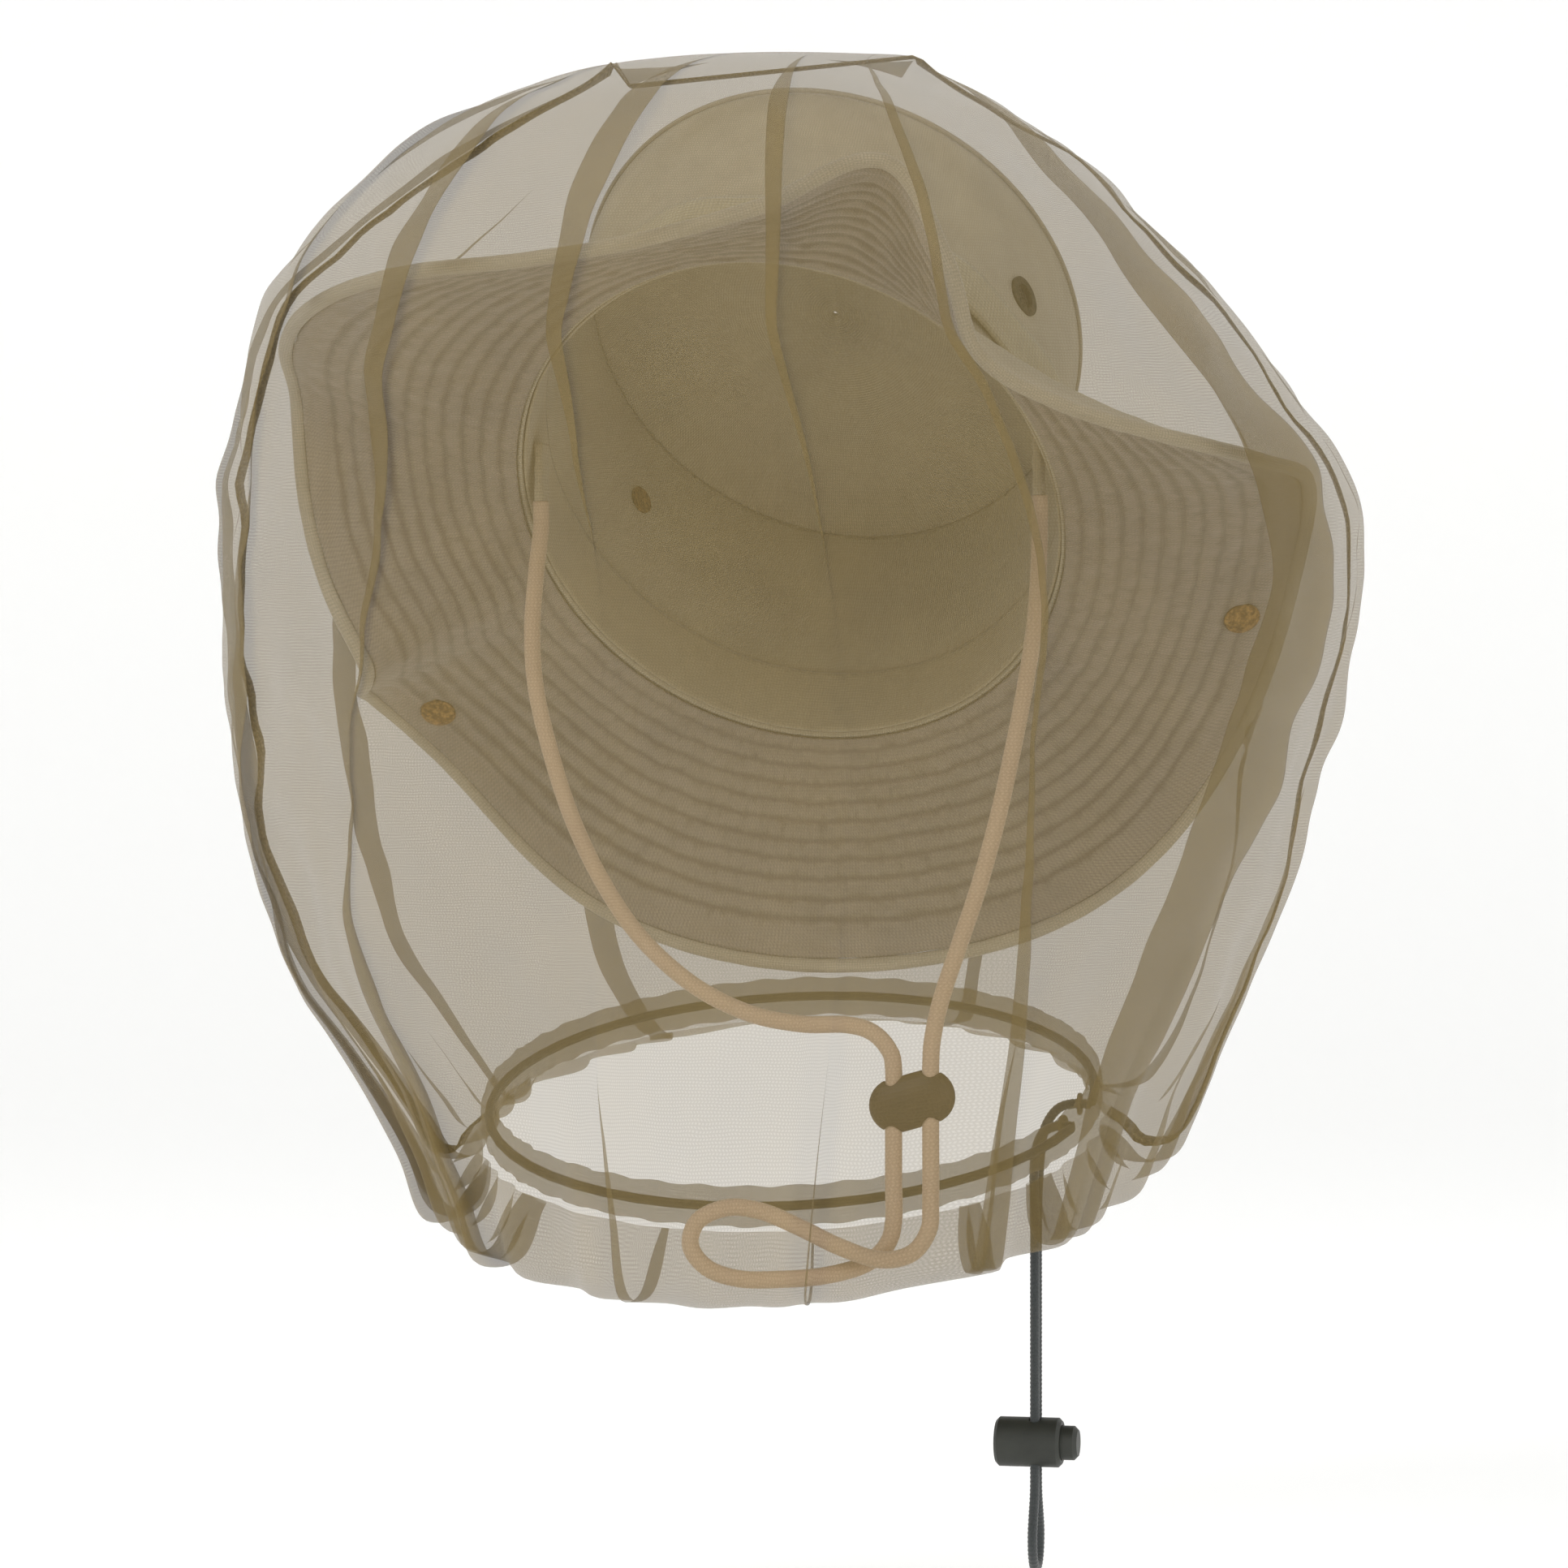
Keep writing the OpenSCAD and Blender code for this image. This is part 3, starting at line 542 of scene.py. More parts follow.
def crown_point(a, h, off):
    a, h = np.broadcast_arrays(np.radians(a), h)
    narrow = CROWN_TAPER * h / CROWN_H
    x = (CROWN_W / 2 - narrow + off) * np.sin(a)
    y = -(CROWN_D / 2 - narrow + off) * np.cos(a)
    return worn(np.stack([x, y, h], -1))


def wave_at(a):
    """Droop in radians and reach in metres of the brim at an angle."""
    a = (a + 180) % 360 - 180
    k = np.searchsorted(BRIM_WAVE[:, 0], a, side="right") - 1
    n = len(BRIM_WAVE)

    def knot(i):
        turn = np.where(i < 0, -360, np.where(i >= n, 360, 0))
        return BRIM_WAVE[i % n] + np.stack([turn, 0 * i, 0 * i], -1)

    p0, p1, p2, p3 = knot(k - 1), knot(k), knot(k + 1), knot(k + 2)
    w = (p2 - p1)[..., :1]
    t = (a[..., None] - p1[..., :1]) / w
    m1 = (p2 - p0) * w / (p2 - p0)[..., :1]
    m2 = (p3 - p1) * w / (p3 - p1)[..., :1]
    p = ((2 * t ** 3 - 3 * t ** 2 + 1) * p1 + (t ** 3 - 2 * t ** 2 + t) * m1
         + (3 * t ** 2 - 2 * t ** 3) * p2 + (t ** 3 - t ** 2) * m2)
    return np.radians(p[..., 1]), BRIM_W + p[..., 2] * MM


def brim_point(a, s):
    a, s = np.broadcast_arrays(np.asarray(a, float), np.asarray(s, float))
    droop, reach = wave_at(a)
    q = np.radians(a)
    base = np.stack([(CROWN_W / 2 + TOUCH) * np.sin(q), -(CROWN_D / 2 + TOUCH) * np.cos(q), 0 * q], -1)
    out = unit(np.stack([np.sin(q) / CROWN_W, -np.cos(q) / CROWN_D, 0 * q], -1))
    run = reach * s * np.cos(droop)
    fall = reach * s ** BRIM_CURL * np.sin(droop)
    return worn(base + out * run[..., None] - np.stack([0 * q, 0 * q, fall], -1))


def brim_up(a, s):
    low = np.maximum(s - 0.03, 0.001)
    along = brim_point(a + 1, s) - brim_point(a - 1, s)
    return -unit(np.cross(along, brim_point(a, low + 0.03) - brim_point(a, low)))


def around(n):
    return np.arange(n) * 360 / n


def crown_wrinkles(points, size, seed):
    """Soft dents in a worn crown, as a distance along each point's way out from the hat's middle."""
    flat = points.reshape(-1, 3)
    deep = [size * (wobble(p, 0.035, seed) + 0.45 * wobble(p, 0.013, seed + 5)) for p in flat]
    return np.array(deep).reshape(points.shape[:-1])


def make_crown():
    a = around(240)[:, None]
    h = np.linspace(0, CROWN_H, 45)[None, :]
    dents = crown_wrinkles(crown_point(a, h, 0.0), 0.9 * MM, 1)
    fade = np.clip(np.minimum(h, CROWN_H - h) / 0.012, 0, 1)
    shape = crown_point(a, h, np.minimum(dents * fade, 0.4 * MM))
    wall = grid("crown_wall", shape, np.linspace(0, 0.578, 241), h[0], ring_u=True)
    solidify(wall, CLOTH)
    for side in (-1, 1):
        at = Vector(crown_point(side * VENT_A, VENT_Z, 0.0))
        out = Vector(crown_point(side * VENT_A, VENT_Z, 0.01)) - at
        bm = bmesh.new()
        bmesh.ops.create_cone(bm, cap_ends=True, segments=40, radius1=VENT_D / 2, radius2=VENT_D / 2,
                              depth=0.02)
        drill = bpy.data.objects.new("drill", bpy.data.meshes.new("drill"))
        bm.to_mesh(drill.data)
        bm.free()
        bpy.context.scene.collection.objects.link(drill)
        drill.location = at
        drill.rotation_euler = out.to_track_quat("Z", "Y").to_euler()
        cut = wall.modifiers.new("vent", "BOOLEAN")
        cut.object, cut.operation, cut.solver = drill, "DIFFERENCE", "EXACT"
        apply_all(wall)
        bpy.data.objects.remove(drill)
    finish_piece(wall, HAT_CLOTH, ["crown_side"])

    f = np.linspace(0.01, 1, 40)[None, :]
    q = np.radians(a)
    narrow = CROWN_TAPER
    top = np.stack([(CROWN_W / 2 - narrow) * f * np.sin(q), -(CROWN_D / 2 - narrow) * f * np.cos(q),
                    CROWN_H + CLOTH + TIP_RISE * (1 - f * f) + 0 * q], -1)
    sag = crown_wrinkles(worn(top), 1.2 * MM, 7) * np.clip((1 - f) / 0.1, 0, 1)
    top[..., 2] += np.minimum(sag, 0.3 * MM)
    tip = grid("crown_tip", worn(top), np.linspace(0, 0.54, 241), 0.09 * f[0], ring_u=True)
    solidify(tip, CLOTH, 1)
    finish_piece(tip, HAT_CLOTH, ["crown_top"])

    rope_h = CROWN_H + 0.4 * MM
    t = np.radians(np.arange(8) * 45)[None, :]
    welt = crown_point(a, rope_h + 0.9 * MM * np.sin(t), 0.2 * MM + 0.9 * MM * np.cos(t))
    welt = grid("crown_welt", welt, np.linspace(0, 0.55, 241), np.linspace(0, 5.6 * MM, 9), True, True)
    finish_piece(welt, TRIM, [])


def make_brim():
    a = around(540)[:, None]
    s = np.linspace(0, 1, 73)[None, :]
    place = brim_point(a, s)
    up = brim_up(a, s)
    reach = wave_at(np.asarray(a, float))[1]
    across = reach * s
    row = np.abs(np.sin(pi * across / QUILT_ROW))
    flat = place.reshape(-1, 3)
    pucker = np.array([wobble(p, 0.0055, 3) for p in flat]).reshape(row.shape)
    softer = np.array([wobble(p, 0.03, 11) for p in flat]).reshape(row.shape)
    inner = np.clip(s / 0.06, 0, 1) * np.clip((1 - s) / 0.03, 0, 1)
    quilt = (0.75 * row ** 0.7 + 1.0 * pucker * row + 0.25 * softer) * MM * inner
    lengths = np.linspace(0, BRIM_GIRTH, 541)
    widths = np.linspace(0, BRIM_W, 73)
    low = TOUCH / 2 + BRIM_T * 0.6 + np.maximum(quilt, -0.3 * MM)
    under = grid("brim_lining", place - up * low[..., None], lengths, widths, ring_u=True)
    solidify(under, BRIM_CLOTH, 1)
    finish_piece(under, SHADED_LINING, ["brim_underside"])
    crease = (0.22 * row ** 0.6 + 0.3 * pucker * row + 0.25 * softer) * MM * inner
    high = TOUCH / 2 + BRIM_T * 0.7 + crease
    top = grid("brim_cloth", place + up * high[..., None], lengths, widths, ring_u=True)
    solidify(top, BRIM_CLOTH, -1)
    finish_piece(top, HAT_CLOTH, ["brim_top"])

    q = np.radians(np.arange(14) * 360 / 14)[None, :]
    edge, lift = brim_point(a, 1.0 + 0 * a), brim_up(a, 1.0 + 0 * a)
    along = unit(brim_point(a + 1, 1.0 + 0 * a) - brim_point(a - 1, 1.0 + 0 * a))
    out = -np.cross(lift, along)
    lump = np.array([wobble(p, 0.009, 21) for p in edge.reshape(-1, 3)]).reshape(-1, 1)
    radius = BINDING_D / 2 * (0.97 + 0.06 * lump)
    middle = edge + out * (BINDING_D / 2 + 0.2 * MM)
    stitch = np.where(np.abs(np.sin(np.radians(a) * 270)) > 0.5, 0.12, 0.0) * (np.abs(np.sin(q)) > 0.85)
    r = radius * (1 - stitch)
    ring = middle + (r * 1.05 * np.cos(q))[..., None] * out - (r * np.sin(q))[..., None] * lift
    piece = grid("brim_binding_roll", ring, lengths, np.linspace(0, 14.4 * MM, 15), True, True)
    finish_piece(piece, TRIM, ["brim_binding"])


def make_bands():
    a = around(576)[:, None]
    across = np.linspace(0, 1, 9)[None, :]
    swell = np.sin(np.radians(a) * BAND_LOOPS / 2) ** 2
    belly = 1 - 0.25 * (2 * across - 1) ** 2
    off = TOUCH + 0.2 * MM + BAND_LOOP * swell * belly
    band = grid("loop_band", crown_point(a, BAND_Z + BAND_W * across, off), np.linspace(0, 0.6, 577),
                BAND_W * across[0], ring_u=True)
    solidify(band, 1.0 * MM, 1)
    finish_piece(band, WEBBING, ["hat_band"])

    a = around(240)[:, None]
    h = np.linspace(0.001, SWEAT_H, 14)[None, :]
    inside = crown_point(a, h, -CLOTH - 2 * TOUCH + 0 * h)
    ruck = crown_wrinkles(inside, 0.4 * MM, 31)
    inside = crown_point(a, h, -CLOTH - 0.4 * MM + np.minimum(ruck, 0.2 * MM))
    sweat = grid("sweatband_tape", inside, np.linspace(0, 0.57, 241), h[0], ring_u=True)
    solidify(sweat, 0.8 * MM, -1)
    finish_piece(sweat, TAPE, ["sweatband"])


def make_tab(side, node):
    """A tape tab, folded over the cord's end and sewn inside the hat."""
    low, high = (np.array(c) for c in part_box(node))
    middle, half = (low + high) / 2, (high - low) / 2
    t = np.linspace(0, 1, 15)[None, :]
    q = np.linspace(0, 2 * pi, 25)[:-1][:, None]
    power = 0.35
    x = half[0] * np.sign(np.cos(q)) * np.abs(np.cos(q)) ** power
    y = half[1] * np.sign(np.sin(q)) * np.abs(np.sin(q)) ** power
    pinch = 1 - 0.22 * np.exp(-((t - 0.35) / 0.08) ** 2) - 0.22 * np.exp(-((t - 0.72) / 0.08) ** 2)
    z = low[2] + (high[2] - low[2]) * t
    pts = np.stack([middle[0] + x * pinch, middle[1] + y + 0 * t, z + 0 * q], -1)
    tab = grid(f"cord_tab_{side}", pts, np.linspace(0, 0.024, 25), 0.018 * t[0], ring_u=True)
    fill_ends(tab)
    finish_piece(tab, TAPE, [node])


make_crown()
make_brim()
make_bands()
make_tab("left", "chin_cord_tab_left")
make_tab("right", "chin_cord_tab_right")

# ---- net -------------------------------------------------------------------

COLUMNS = 150                        # of one panel
ROWS = 104
SLACK_AROUND = 0.99                  # how much longer the cloth is than the laps need, round the hat
SLACK_DOWN = 1.05                    # and downwards


def rings_along(rows):
    """The ridge and the rings at even steps down the net, as rows like NET_RINGS, and their runs."""
    ridge = np.array([(RIDGE[3], 0, -RIDGE[0], RIDGE[1], 0.0, RIDGE[2])])
    table = np.vstack([ridge, NET_RINGS])
    step = np.hypot(np.diff(table[:, 0] - table[:, 1] * 0.5), np.diff(table[:, 2:5].mean(1)))
    run = np.concatenate([[0], np.cumsum(step)])
    at = np.linspace(0, run[-1], rows + 1)
    slope = np.gradient(table, run, axis=0)
    k = np.clip(np.searchsorted(run, at, side="right") - 1, 0, len(run) - 2)
    span = (run[k + 1] - run[k])[:, None]
    t = ((at - run[k]) / span[:, 0])[:, None]
    out = ((2 * t ** 3 - 3 * t ** 2 + 1) * table[k] + (t ** 3 - 2 * t ** 2 + t) * span * slope[k]
           + (3 * t ** 2 - 2 * t ** 3) * table[k + 1] + (t ** 3 - t ** 2) * span * slope[k + 1])
    return out, at


def ring_points(ring, a):
    """Points of one ring at angles a."""
    z, drop, minus, plus, d, y = ring
    q = np.radians(a)
    x = np.where(np.sin(q) > 0, plus, minus) * np.sin(q)
    return np.stack([x, y - d * np.cos(q), z - drop * np.cos(q) + 0 * q], -1)


def ridge_points(front, grow=1.0):
    """The ridge's points, in the order of a panel's columns."""
    x = np.linspace(RIDGE[0], RIDGE[1], COLUMNS + 1)[::1 if front else -1] * grow
    end = np.linspace(-1, 1, COLUMNS + 1)
    return np.stack([x, 0 * x + RIDGE[2], RIDGE[3] - RIDGE_SAG * end ** 2], -1)


AT_BRIM = 0.36                       # share of the way down the net at which it passes the brim's edge
# Laps of spare cloth, in order round the net: place at the ridge, at the brim and at the hem, how
# much the cloth laps over itself, how full the lap is over the hat, at the brim, half way down and
# at the hem. Angles and laps are in degrees.
LAPS = [
    (-150, -150, -145, 4, 0.3, 0.6, 1.0, 0.8), (-116, -115, -112, 4, 0.2, 0.6, 1.0, 0.8),
    (-88, -84, -86, 4, 0.8, 0.7, 1.0, 0.7), (-64, -58, -64, 9, 1.0, 0.5, 1.0, 0.8),
    (-22, -34, -42, 10, 1.0, 0.6, 0.4, 1.0), (4, -10, -8, 8, 1.0, 0.5, 0.0, 0.5),
    (24, 14, 16, 5, 1.0, 0.6, 0.0, 0.4), (44, 31, 46, 3, 1.0, 1.0, 0.6, 0.8),
    (80, 66, 62, 14, 0.6, 0.8, 1.0, 0.7), (100, 99, 90, 4, 0.2, 0.8, 1.0, 0.8),
    (128, 128, 122, 4, 0.4, 0.7, 1.0, 0.8), (165, 165, 165, 4, 0.6, 0.7, 1.0, 0.8),
]
LAP_SHARES = (0.05, 0.18, AT_BRIM, 0.62, 0.95)    # how far down those four are, after a start at 0
LAP_SWAY = 0.35                      # how far a lap wanders on its way down, as a share of its width
LAP_SPREAD = 3.5                     # how far to its sides the cloth goes with it, in widths
LAP_HIGH = 0.005                     # how far the upper layer of a lap stands off
PLEAT = 0.005                        # depth of the gathers at the hem
RUCK, FINE_RUCK = 0.004, 0.0015      # depth of the uneven places in the cloth
HANG_CLEAR = 0.003                   # how far off its rings the net is hung
HEM_CUT = 0.88                       # how wide the cut is at the hem, as a share of its widest


def cloth_angles(front):
    """Where each column of a panel lies in the cloth, laps unfolded, in degrees, and the whole turn."""
    spare = 2 * sum(lap[3] for lap in LAPS)

    def unfolded(a):
        return a + 2 * sum(lap[3] * (lap[1] < a) for lap in LAPS)

    first, last = unfolded(SEAM_RIGHT), unfolded(SEAM_LEFT)
    if front:
        return np.linspace(first, last, COLUMNS + 1), 360 + spare
    return np.linspace(last, first + 360 + spare, COLUMNS + 1), 360 + spare


def lap_at(u, t):
    """Place round the hat, and distance out, of the cloth's angle u at share t of the way down."""
    turn = 360 + 2 * sum(lap[3] for lap in LAPS)
    wrap = np.floor((u + 180) / turn)
    u = u - wrap * turn
    a, out = u.copy(), np.zeros_like(u)
    spare = 0.0
    for crest, brim, low, lap, *full in LAPS:
        s = (u - (brim + spare - lap / 2)) / lap
        k = np.interp(t, LAP_SHARES, (0, *full))
        flat = np.clip(s, 0, 3) / 3
        zig = np.where(s < 1, np.clip(s, 0, 1), np.where(s < 2, 2 - s, np.clip(s - 2, 0, 1)))
        inside = (s > 0) & (s < 3)
        place = flat + (zig - flat) * k
        a = np.where(s >= 3, a - 2 * lap, np.where(inside, a - s * lap + place * lap, a))
        rise = np.where(s < 1, np.sqrt(np.clip(s, 0, 1)), np.clip(2 - s, 0, 1) ** 2)
        out += np.where(inside, rise, 0) * LAP_HIGH * k
        lean = np.interp(t, (0, AT_BRIM, 1), (crest - brim, 0, low - brim))
        sway = LAP_SWAY * lap * sin(9 * t + brim)
        a = a + np.exp(-((s - 1.5) / LAP_SPREAD) ** 2) * (lean + sway)
        spare += 2 * lap
    return a + wrap * 360, out


def start_shape(front, rings):
    """The net panel as it is hung over the hat, before it drapes."""
    u, turn = cloth_angles(front)
    pts = np.empty((COLUMNS + 1, ROWS + 1, 3))
    for j, ring in enumerate(rings):
        t = j / ROWS
        a, out = lap_at(u, t)
        p = ring_points(ring, a)
        way = unit((p - (0, ring[5], 0)) * (1, 1, 0) + 1e-9)
        gather = np.clip((t - 0.60) / 0.40, 0, 1) ** 1.5
        q = np.radians(u * 360 / turn)
        pleat = np.sin(q * 43 + 1.7 * np.sin(q * 5) + 0.9 * np.sin(q * 11))
        calm = 1 - 0.75 * np.clip((t - 0.985) / 0.015, 0, 1)
        p = p + way * ((out + PLEAT * gather * pleat) * calm)[:, None]
        for i in range(len(a)):
            ruck = (wobble(p[i], 0.03, 2) * RUCK + wobble(p[i], 0.012, 4) * FINE_RUCK) * min(1, t * 6)
            p[i] += way[i] * (ruck * (1 - gather) + HANG_CLEAR)
        pts[:, j] = p
    pts[:, 0] = ridge_points(front)
    return pts


def cut_shape(front, rings, at):
    """The same panel at its cut size: full width down to the hem, before the hem gathers it."""
    u, turn = cloth_angles(front)
    a = u * 360 / turn
    spread = turn / 360 * SLACK_AROUND
    pts = np.empty((COLUMNS + 1, ROWS + 1, 3))
    full = NET_RINGS[:, 2:5].max(0)
    widest = np.argmax(rings[:, 2])
    z = rings[:, 0].copy()
    for j in range(1, ROWS + 1):
        step = rings[j - 1, 0] - rings[j, 0] if j <= widest else (at[j] - at[j - 1]) * SLACK_DOWN
        z[j] = z[j - 1] - step
    for j, ring in enumerate(rings):
        size = ring[2:5] if j <= widest else full
        p = ring_points((z[j], 0, *size, ring[5]), a)
        wide = spread * np.interp(j, (widest, ROWS), (1, HEM_CUT))
        pts[:, j] = p * (wide, wide, 1)
    pts[:, 0] = ridge_points(front, spread)
    return pts


def net_index():
    """Vertex numbers of both panels, with the ridge and the side seams shared."""
    front = np.arange((COLUMNS + 1) * (ROWS + 1)).reshape(COLUMNS + 1, ROWS + 1)
    back = np.full_like(front, -1)
    back[:, 0] = front[::-1, 0]
    back[0, :] = front[COLUMNS, :]
    back[COLUMNS, :] = front[0, :]
    free = back < 0
    back[free] = np.arange(free.sum()) + front.size
    return front, back


BODY_HALF = 0.0015                   # half the thickness of the brim's body
BODY_REACH = 1.045                   # its rolled edge, as a share of the brim
BODY_OUT = 0.003                     # how far the crown's body stands off the crown


def hat_collider():
    """The brim and the crown as two thick bodies for the net to fall on."""
    a = around(120)[:, None]
    s = np.linspace(0, 1, 16)[None, :]
    top = brim_point(a, s) + brim_up(a, s) * BODY_HALF
    low = brim_point(a, s) - brim_up(a, s) * BODY_HALF
    edge = brim_point(a, np.array([[BODY_REACH]]))
    ring = np.concatenate([top, edge, low[:, ::-1]], 1)
    brim = grid("brim_body", ring, np.arange(121), np.arange(ring.shape[1] + 1), True, True)
    f = np.linspace(1, 0.01, 8)[None, :]
    q = np.radians(a)
    wall = crown_point(a, np.linspace(-0.004, CROWN_H, 10)[None, :], BODY_OUT)
    half_w, half_d = CROWN_W / 2 - CROWN_TAPER, CROWN_D / 2 - CROWN_TAPER
    top = worn(np.stack([half_w * f * np.sin(q), -half_d * f * np.cos(q),
                         CROWN_H + 2 * CLOTH + TIP_RISE * (1 - f * f) + 0 * q], -1))
    crown = grid("crown_body", np.concatenate([wall, top], 1), np.arange(121), np.arange(19), ring_u=True)
    for body in (brim, crown):
        body.modifiers.new("collide", "COLLISION")
        body.collision.thickness_outer = 0.002
        body.collision.thickness_inner = 0.004
        body.collision.cloth_friction = 30
        body.collision.damping = 0.3
    return [brim, crown]


NET_FRAMES = 30
SOFT_HOLD = 0.32                     # how firmly the net keeps to the shape that it was hung in


def drape(front_start, back_start, front_cut, back_cut):
    """Hangs the sewn bag on the hat with its hem held, and gives both panels' points after it."""
    front, back = net_index()
    count = max(front.max(), back.max()) + 1
    start, cut = np.empty((count, 3)), np.empty((count, 3))
    start[back], cut[back] = back_start, back_cut
    start[front], cut[front] = front_start, front_cut
    faces = []
    for idx in (front, back):
        for i in range(COLUMNS):
            for j in range(ROWS):
                faces.append((idx[i, j], idx[i + 1, j], idx[i + 1, j + 1], idx[i, j + 1]))
    bag = make_mesh("bag", start, [tuple(int(k) for k in f) for f in faces])
    bag.shape_key_add(name="hung")
    key = bag.shape_key_add(name="cut")
    key.data.foreach_set("co", cut.ravel())
    key.value = 0
    hold = bag.vertex_groups.new(name="hold")
    hem = sorted({int(k) for idx in (front, back) for k in idx[:, ROWS]})
    hold.add(hem, 1.0, "REPLACE")
    for j in range(ROWS):
        share = j / ROWS
        grip = SOFT_HOLD * min(1, 0.35 + share * 1.6)    # looser over the hat
        hold.add(sorted({int(k) for idx in (front, back) for k in idx[:, j]}), grip, "REPLACE")
    crest = [int(front[i, 0]) for i in range(COLUMNS // 5, 4 * COLUMNS // 5)]
    hold.add(crest, 0.8, "REPLACE")
    bodies = hat_collider()
    cloth = bag.modifiers.new("drape", "CLOTH")
    st = cloth.settings
    st.rest_shape_key = key
    st.vertex_group_mass = "hold"
    st.pin_stiffness = 50
    st.quality = 5
    st.mass = 0.003
    st.air_damping = 1.0
    st.tension_stiffness = 25
    st.compression_stiffness = 25
    st.shear_stiffness = 2
    st.bending_stiffness = 0.01
    st.tension_damping = 2
    st.compression_damping = 2
    st.shear_damping = 1
    st.bending_damping = 0.1
    cloth.collision_settings.distance_min = 0.002
    cloth.collision_settings.collision_quality = 3
    cloth.collision_settings.use_self_collision = False
    cloth.point_cache.frame_start = 1
    cloth.point_cache.frame_end = NET_FRAMES
    scene = bpy.context.scene
    scene.frame_start, scene.frame_end = 1, NET_FRAMES
    for f in range(1, NET_FRAMES + 1):
        scene.frame_set(f)
    done = bag.evaluated_get(bpy.context.evaluated_depsgraph_get()).to_mesh()
    found = np.empty(count * 3)
    done.vertices.foreach_get("co", found)
    found = found.reshape(-1, 3)
    bpy.data.objects.remove(bag)
    for body in bodies:
        bpy.data.objects.remove(body)
    scene.frame_set(1)
    return found[front], found[back]


def make_net():
    rings, at = rings_along(ROWS)
    front, back = start_shape(True, rings), start_shape(False, rings)
    back[0], back[-1], back[:, 0] = front[-1], front[0], front[::-1, 0]
    cuts = cut_shape(True, rings, at), cut_shape(False, rings, at)
    front, back = drape(front, back, *cuts)
    for name, pts, cut, node in (("net_front_mesh", front, cuts[0], "net_front"),
                                 ("net_back_mesh", back, cuts[1], "net_back")):
        wide = np.linalg.norm(np.diff(cut[:, ROWS // 2], axis=0), axis=1)
        along = np.concatenate([[0], np.cumsum(wide)])
        tall = np.linalg.norm(np.diff(cut, axis=1), axis=2).mean(0)
        across = np.concatenate([[0], np.cumsum(tall)])
        piece = grid(name, pts, along, across)
        piece.modifiers.new("smooth", "SUBSURF").levels = 1
        piece.modifiers["smooth"].render_levels = 1
        finish_piece(piece, NET, [node])
    return front, back


def ribbon(name, path, side, up, width, thick, material, nodes):
    """A flat tape along a path, with its sides along side and its thickness along up."""
    half, high = side * (width / 2), up * (thick / 2)
    corners = [path + half * c + high * h for c, h in (
        (-1, 0), (-0.8, 0.9), (0, 1), (0.8, 0.9), (1, 0), (0.8, -0.9), (0, -1), (-0.8, -0.9))]
    pts = np.stack(corners, 1)
    run = np.concatenate([[0], np.cumsum(np.linalg.norm(np.diff(path, axis=0), axis=1))])
    piece = grid(name, pts, run, np.linspace(0, 2 * width, 9), ring_v=True)
    fill_ends(piece)
    return finish_piece(piece, material, nodes)


def make_seam(front, back):
    """The overlocked seam, up the right side, over the top and down the left."""
    right, ridge, left = front[0, ::-1], front[:, 0], front[-1]
    path = np.concatenate([right, ridge[1:-1], left])
    near = np.concatenate([front[1, ::-1], front[1:-1, 1], front[-2]])
    far = np.concatenate([back[-2, ::-1], back[1:-1, 1][::-1], back[1]])
    side = near - far
    bare = np.linalg.norm(side, axis=1) < 1e-9
    side[bare] = np.roll(side, 1, axis=0)[bare]
    side = unit(side)
    keep = np.concatenate([[True], np.linalg.norm(np.diff(path, axis=0), axis=1) > 0.0012])
    path, side = path[keep], side[keep]
    way = unit(np.gradient(path, axis=0))
    up = unit(np.cross(way, side))
    side = unit(np.cross(up, way))
    ribbon("net_seam_tape", path, side, up, SEAM_W * 0.8, 0.9 * MM, SEAM, ["net_seam"])


def make_hem():
    """The gathered channel that the elastic runs in."""
    a = around(720)[:, None]
    q = np.radians(a)
    middle = np.stack([HEM_RX * np.sin(q), -HEM_RY * np.cos(q), HEM_Z - HEM_DROP * np.cos(q)], -1)
    out = unit(np.stack([np.sin(q), -np.cos(q), 0 * q], -1))
    t = np.radians(np.arange(20) * 18)[None, :]
    square = 0.7
    x = np.sign(np.cos(t)) * np.abs(np.cos(t)) ** square
    z = np.sign(np.sin(t)) * np.abs(np.sin(t)) ** square
    gather = np.sin(q * 62 + 2 * np.sin(q * 7)) * 0.5 + 0.35 * np.sin(q * 107 + 1.3 * np.sin(q * 13))
    edge = np.abs(z) ** 2
    r = HEM_T / 2 * x * (1 - 0.35 * edge) + 0.75 * MM * gather * (0.35 + 0.65 * edge)
    tall = HEM_H / 2 * z * (1 + 0.05 * np.sin(q * 41))
    pts = middle + out * r[..., None] + np.stack([0 * r, 0 * r, tall], -1)
    piece = grid("neck_hem_channel", pts, np.linspace(0, 0.9, 721), np.linspace(0, 0.034, 21), True, True)
    finish_piece(piece, HEM, ["neck_hem"])


net_front, net_back = make_net()
make_seam(net_front, net_back)
make_hem()

# ---- metal and plastic pieces of the frame --------------------------------


def paint(material, *nodes):
    for name in nodes:
        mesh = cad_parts[name].data
        mesh.materials.clear()
        mesh.materials.append(material)


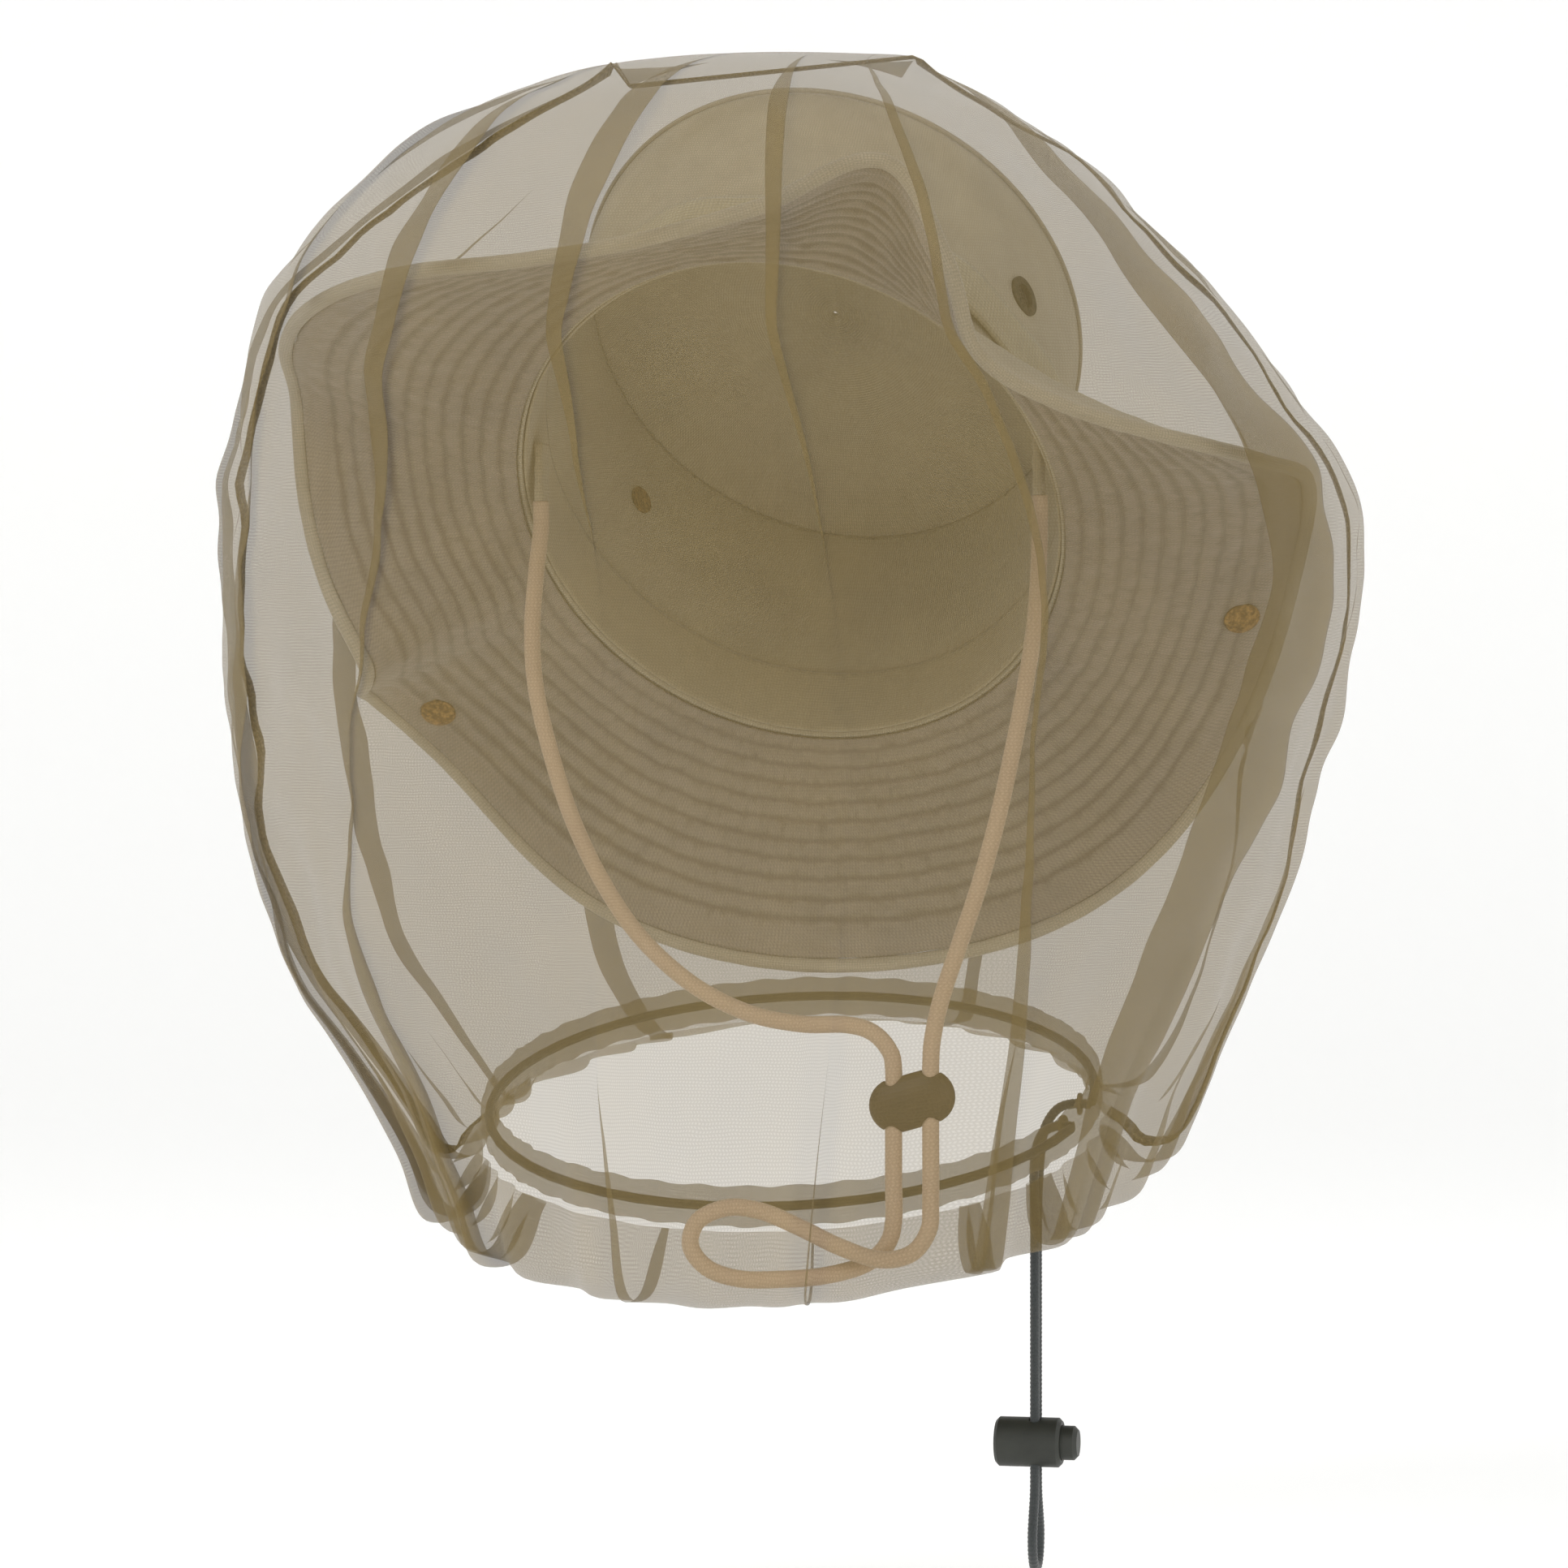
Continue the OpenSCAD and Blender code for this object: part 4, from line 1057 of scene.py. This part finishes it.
paint(BRONZE, "snap_cap_left", "snap_cap_right", "snap_socket_left", "snap_socket_right",
      "crown_stud_left", "crown_stud_right", "stud_post_left", "stud_post_right")
paint(ENAMEL, "vent_ring_left", "vent_ring_right")
paint(GAUZE, "vent_screen_left", "vent_screen_right")
paint(BROWN, "chin_cord_slider")
paint(BLACK, "cord_lock_barrel", "cord_lock_plunger")
paint(STEEL, "cord_lock_spring")
paint(ELASTIC, "drawcord_in_hem")
paint(THREAD, "hem_eyelet_front", "hem_eyelet_back")

# ---- stage and light -------------------------------------------------------

FLOOR_Z = cad_low[2] - 0.02
FLOOR_R, CURVE_R, WALL_TOP = 2.8, 0.8, 3.2
STAGE_GLOW = 0.35
WORLD_GLOW = 0.35
LIGHTS_AIM = (0, 0, -0.08)


def make_stage():
    """A round pale floor that curves up into a wall on every side."""
    curve = [(FLOOR_R + CURVE_R * sin(q), CURVE_R * (1 - cos(q))) for q in np.linspace(0, pi / 2, 14)[1:]]
    profile = [(0.001, 0), (1.6, 0), (FLOOR_R, 0)] + curve + [(FLOOR_R + CURVE_R, WALL_TOP)]
    q = np.radians(around(96))[:, None]
    r = np.array([p[0] for p in profile])[None, :]
    z = np.array([p[1] for p in profile])[None, :]
    pts = np.stack([r * np.sin(q), r * np.cos(q), FLOOR_Z + z + 0 * q], -1)
    bowl = grid("studio", pts, np.arange(97), np.arange(len(profile)), ring_u=True)
    s = Shader("pale_paper", 0.9)
    s.set(Base_Color=(0.72, 0.72, 0.715, 1), Emission_Color=(1, 1, 0.99, 1), Emission_Strength=STAGE_GLOW)
    bowl.data.materials.append(s.mat)


def area_light(name, place, size, power):
    data = bpy.data.lights.new(name, "AREA")
    data.shape, data.size, data.energy = "DISK", size, power
    light = bpy.data.objects.new(name, data)
    light.location = place
    light.rotation_euler = (Vector(LIGHTS_AIM) - Vector(place)).to_track_quat("-Z", "Y").to_euler()
    bpy.context.scene.collection.objects.link(light)


make_stage()
area_light("key", (-1.0, -1.6, 1.3), 1.1, 26)
area_light("fill", (1.6, -1.3, 0.5), 1.4, 12)
area_light("top", (0.2, 0.4, 2.0), 1.2, 12)
world = bpy.data.worlds.new("studio")
bpy.context.scene.world = world
world.use_nodes = True
glow = world.node_tree.nodes["Background"].inputs
glow["Color"].default_value = (1, 1, 1, 1)
glow["Strength"].default_value = WORLD_GLOW
bpy.context.scene.view_settings.view_transform = "Standard"
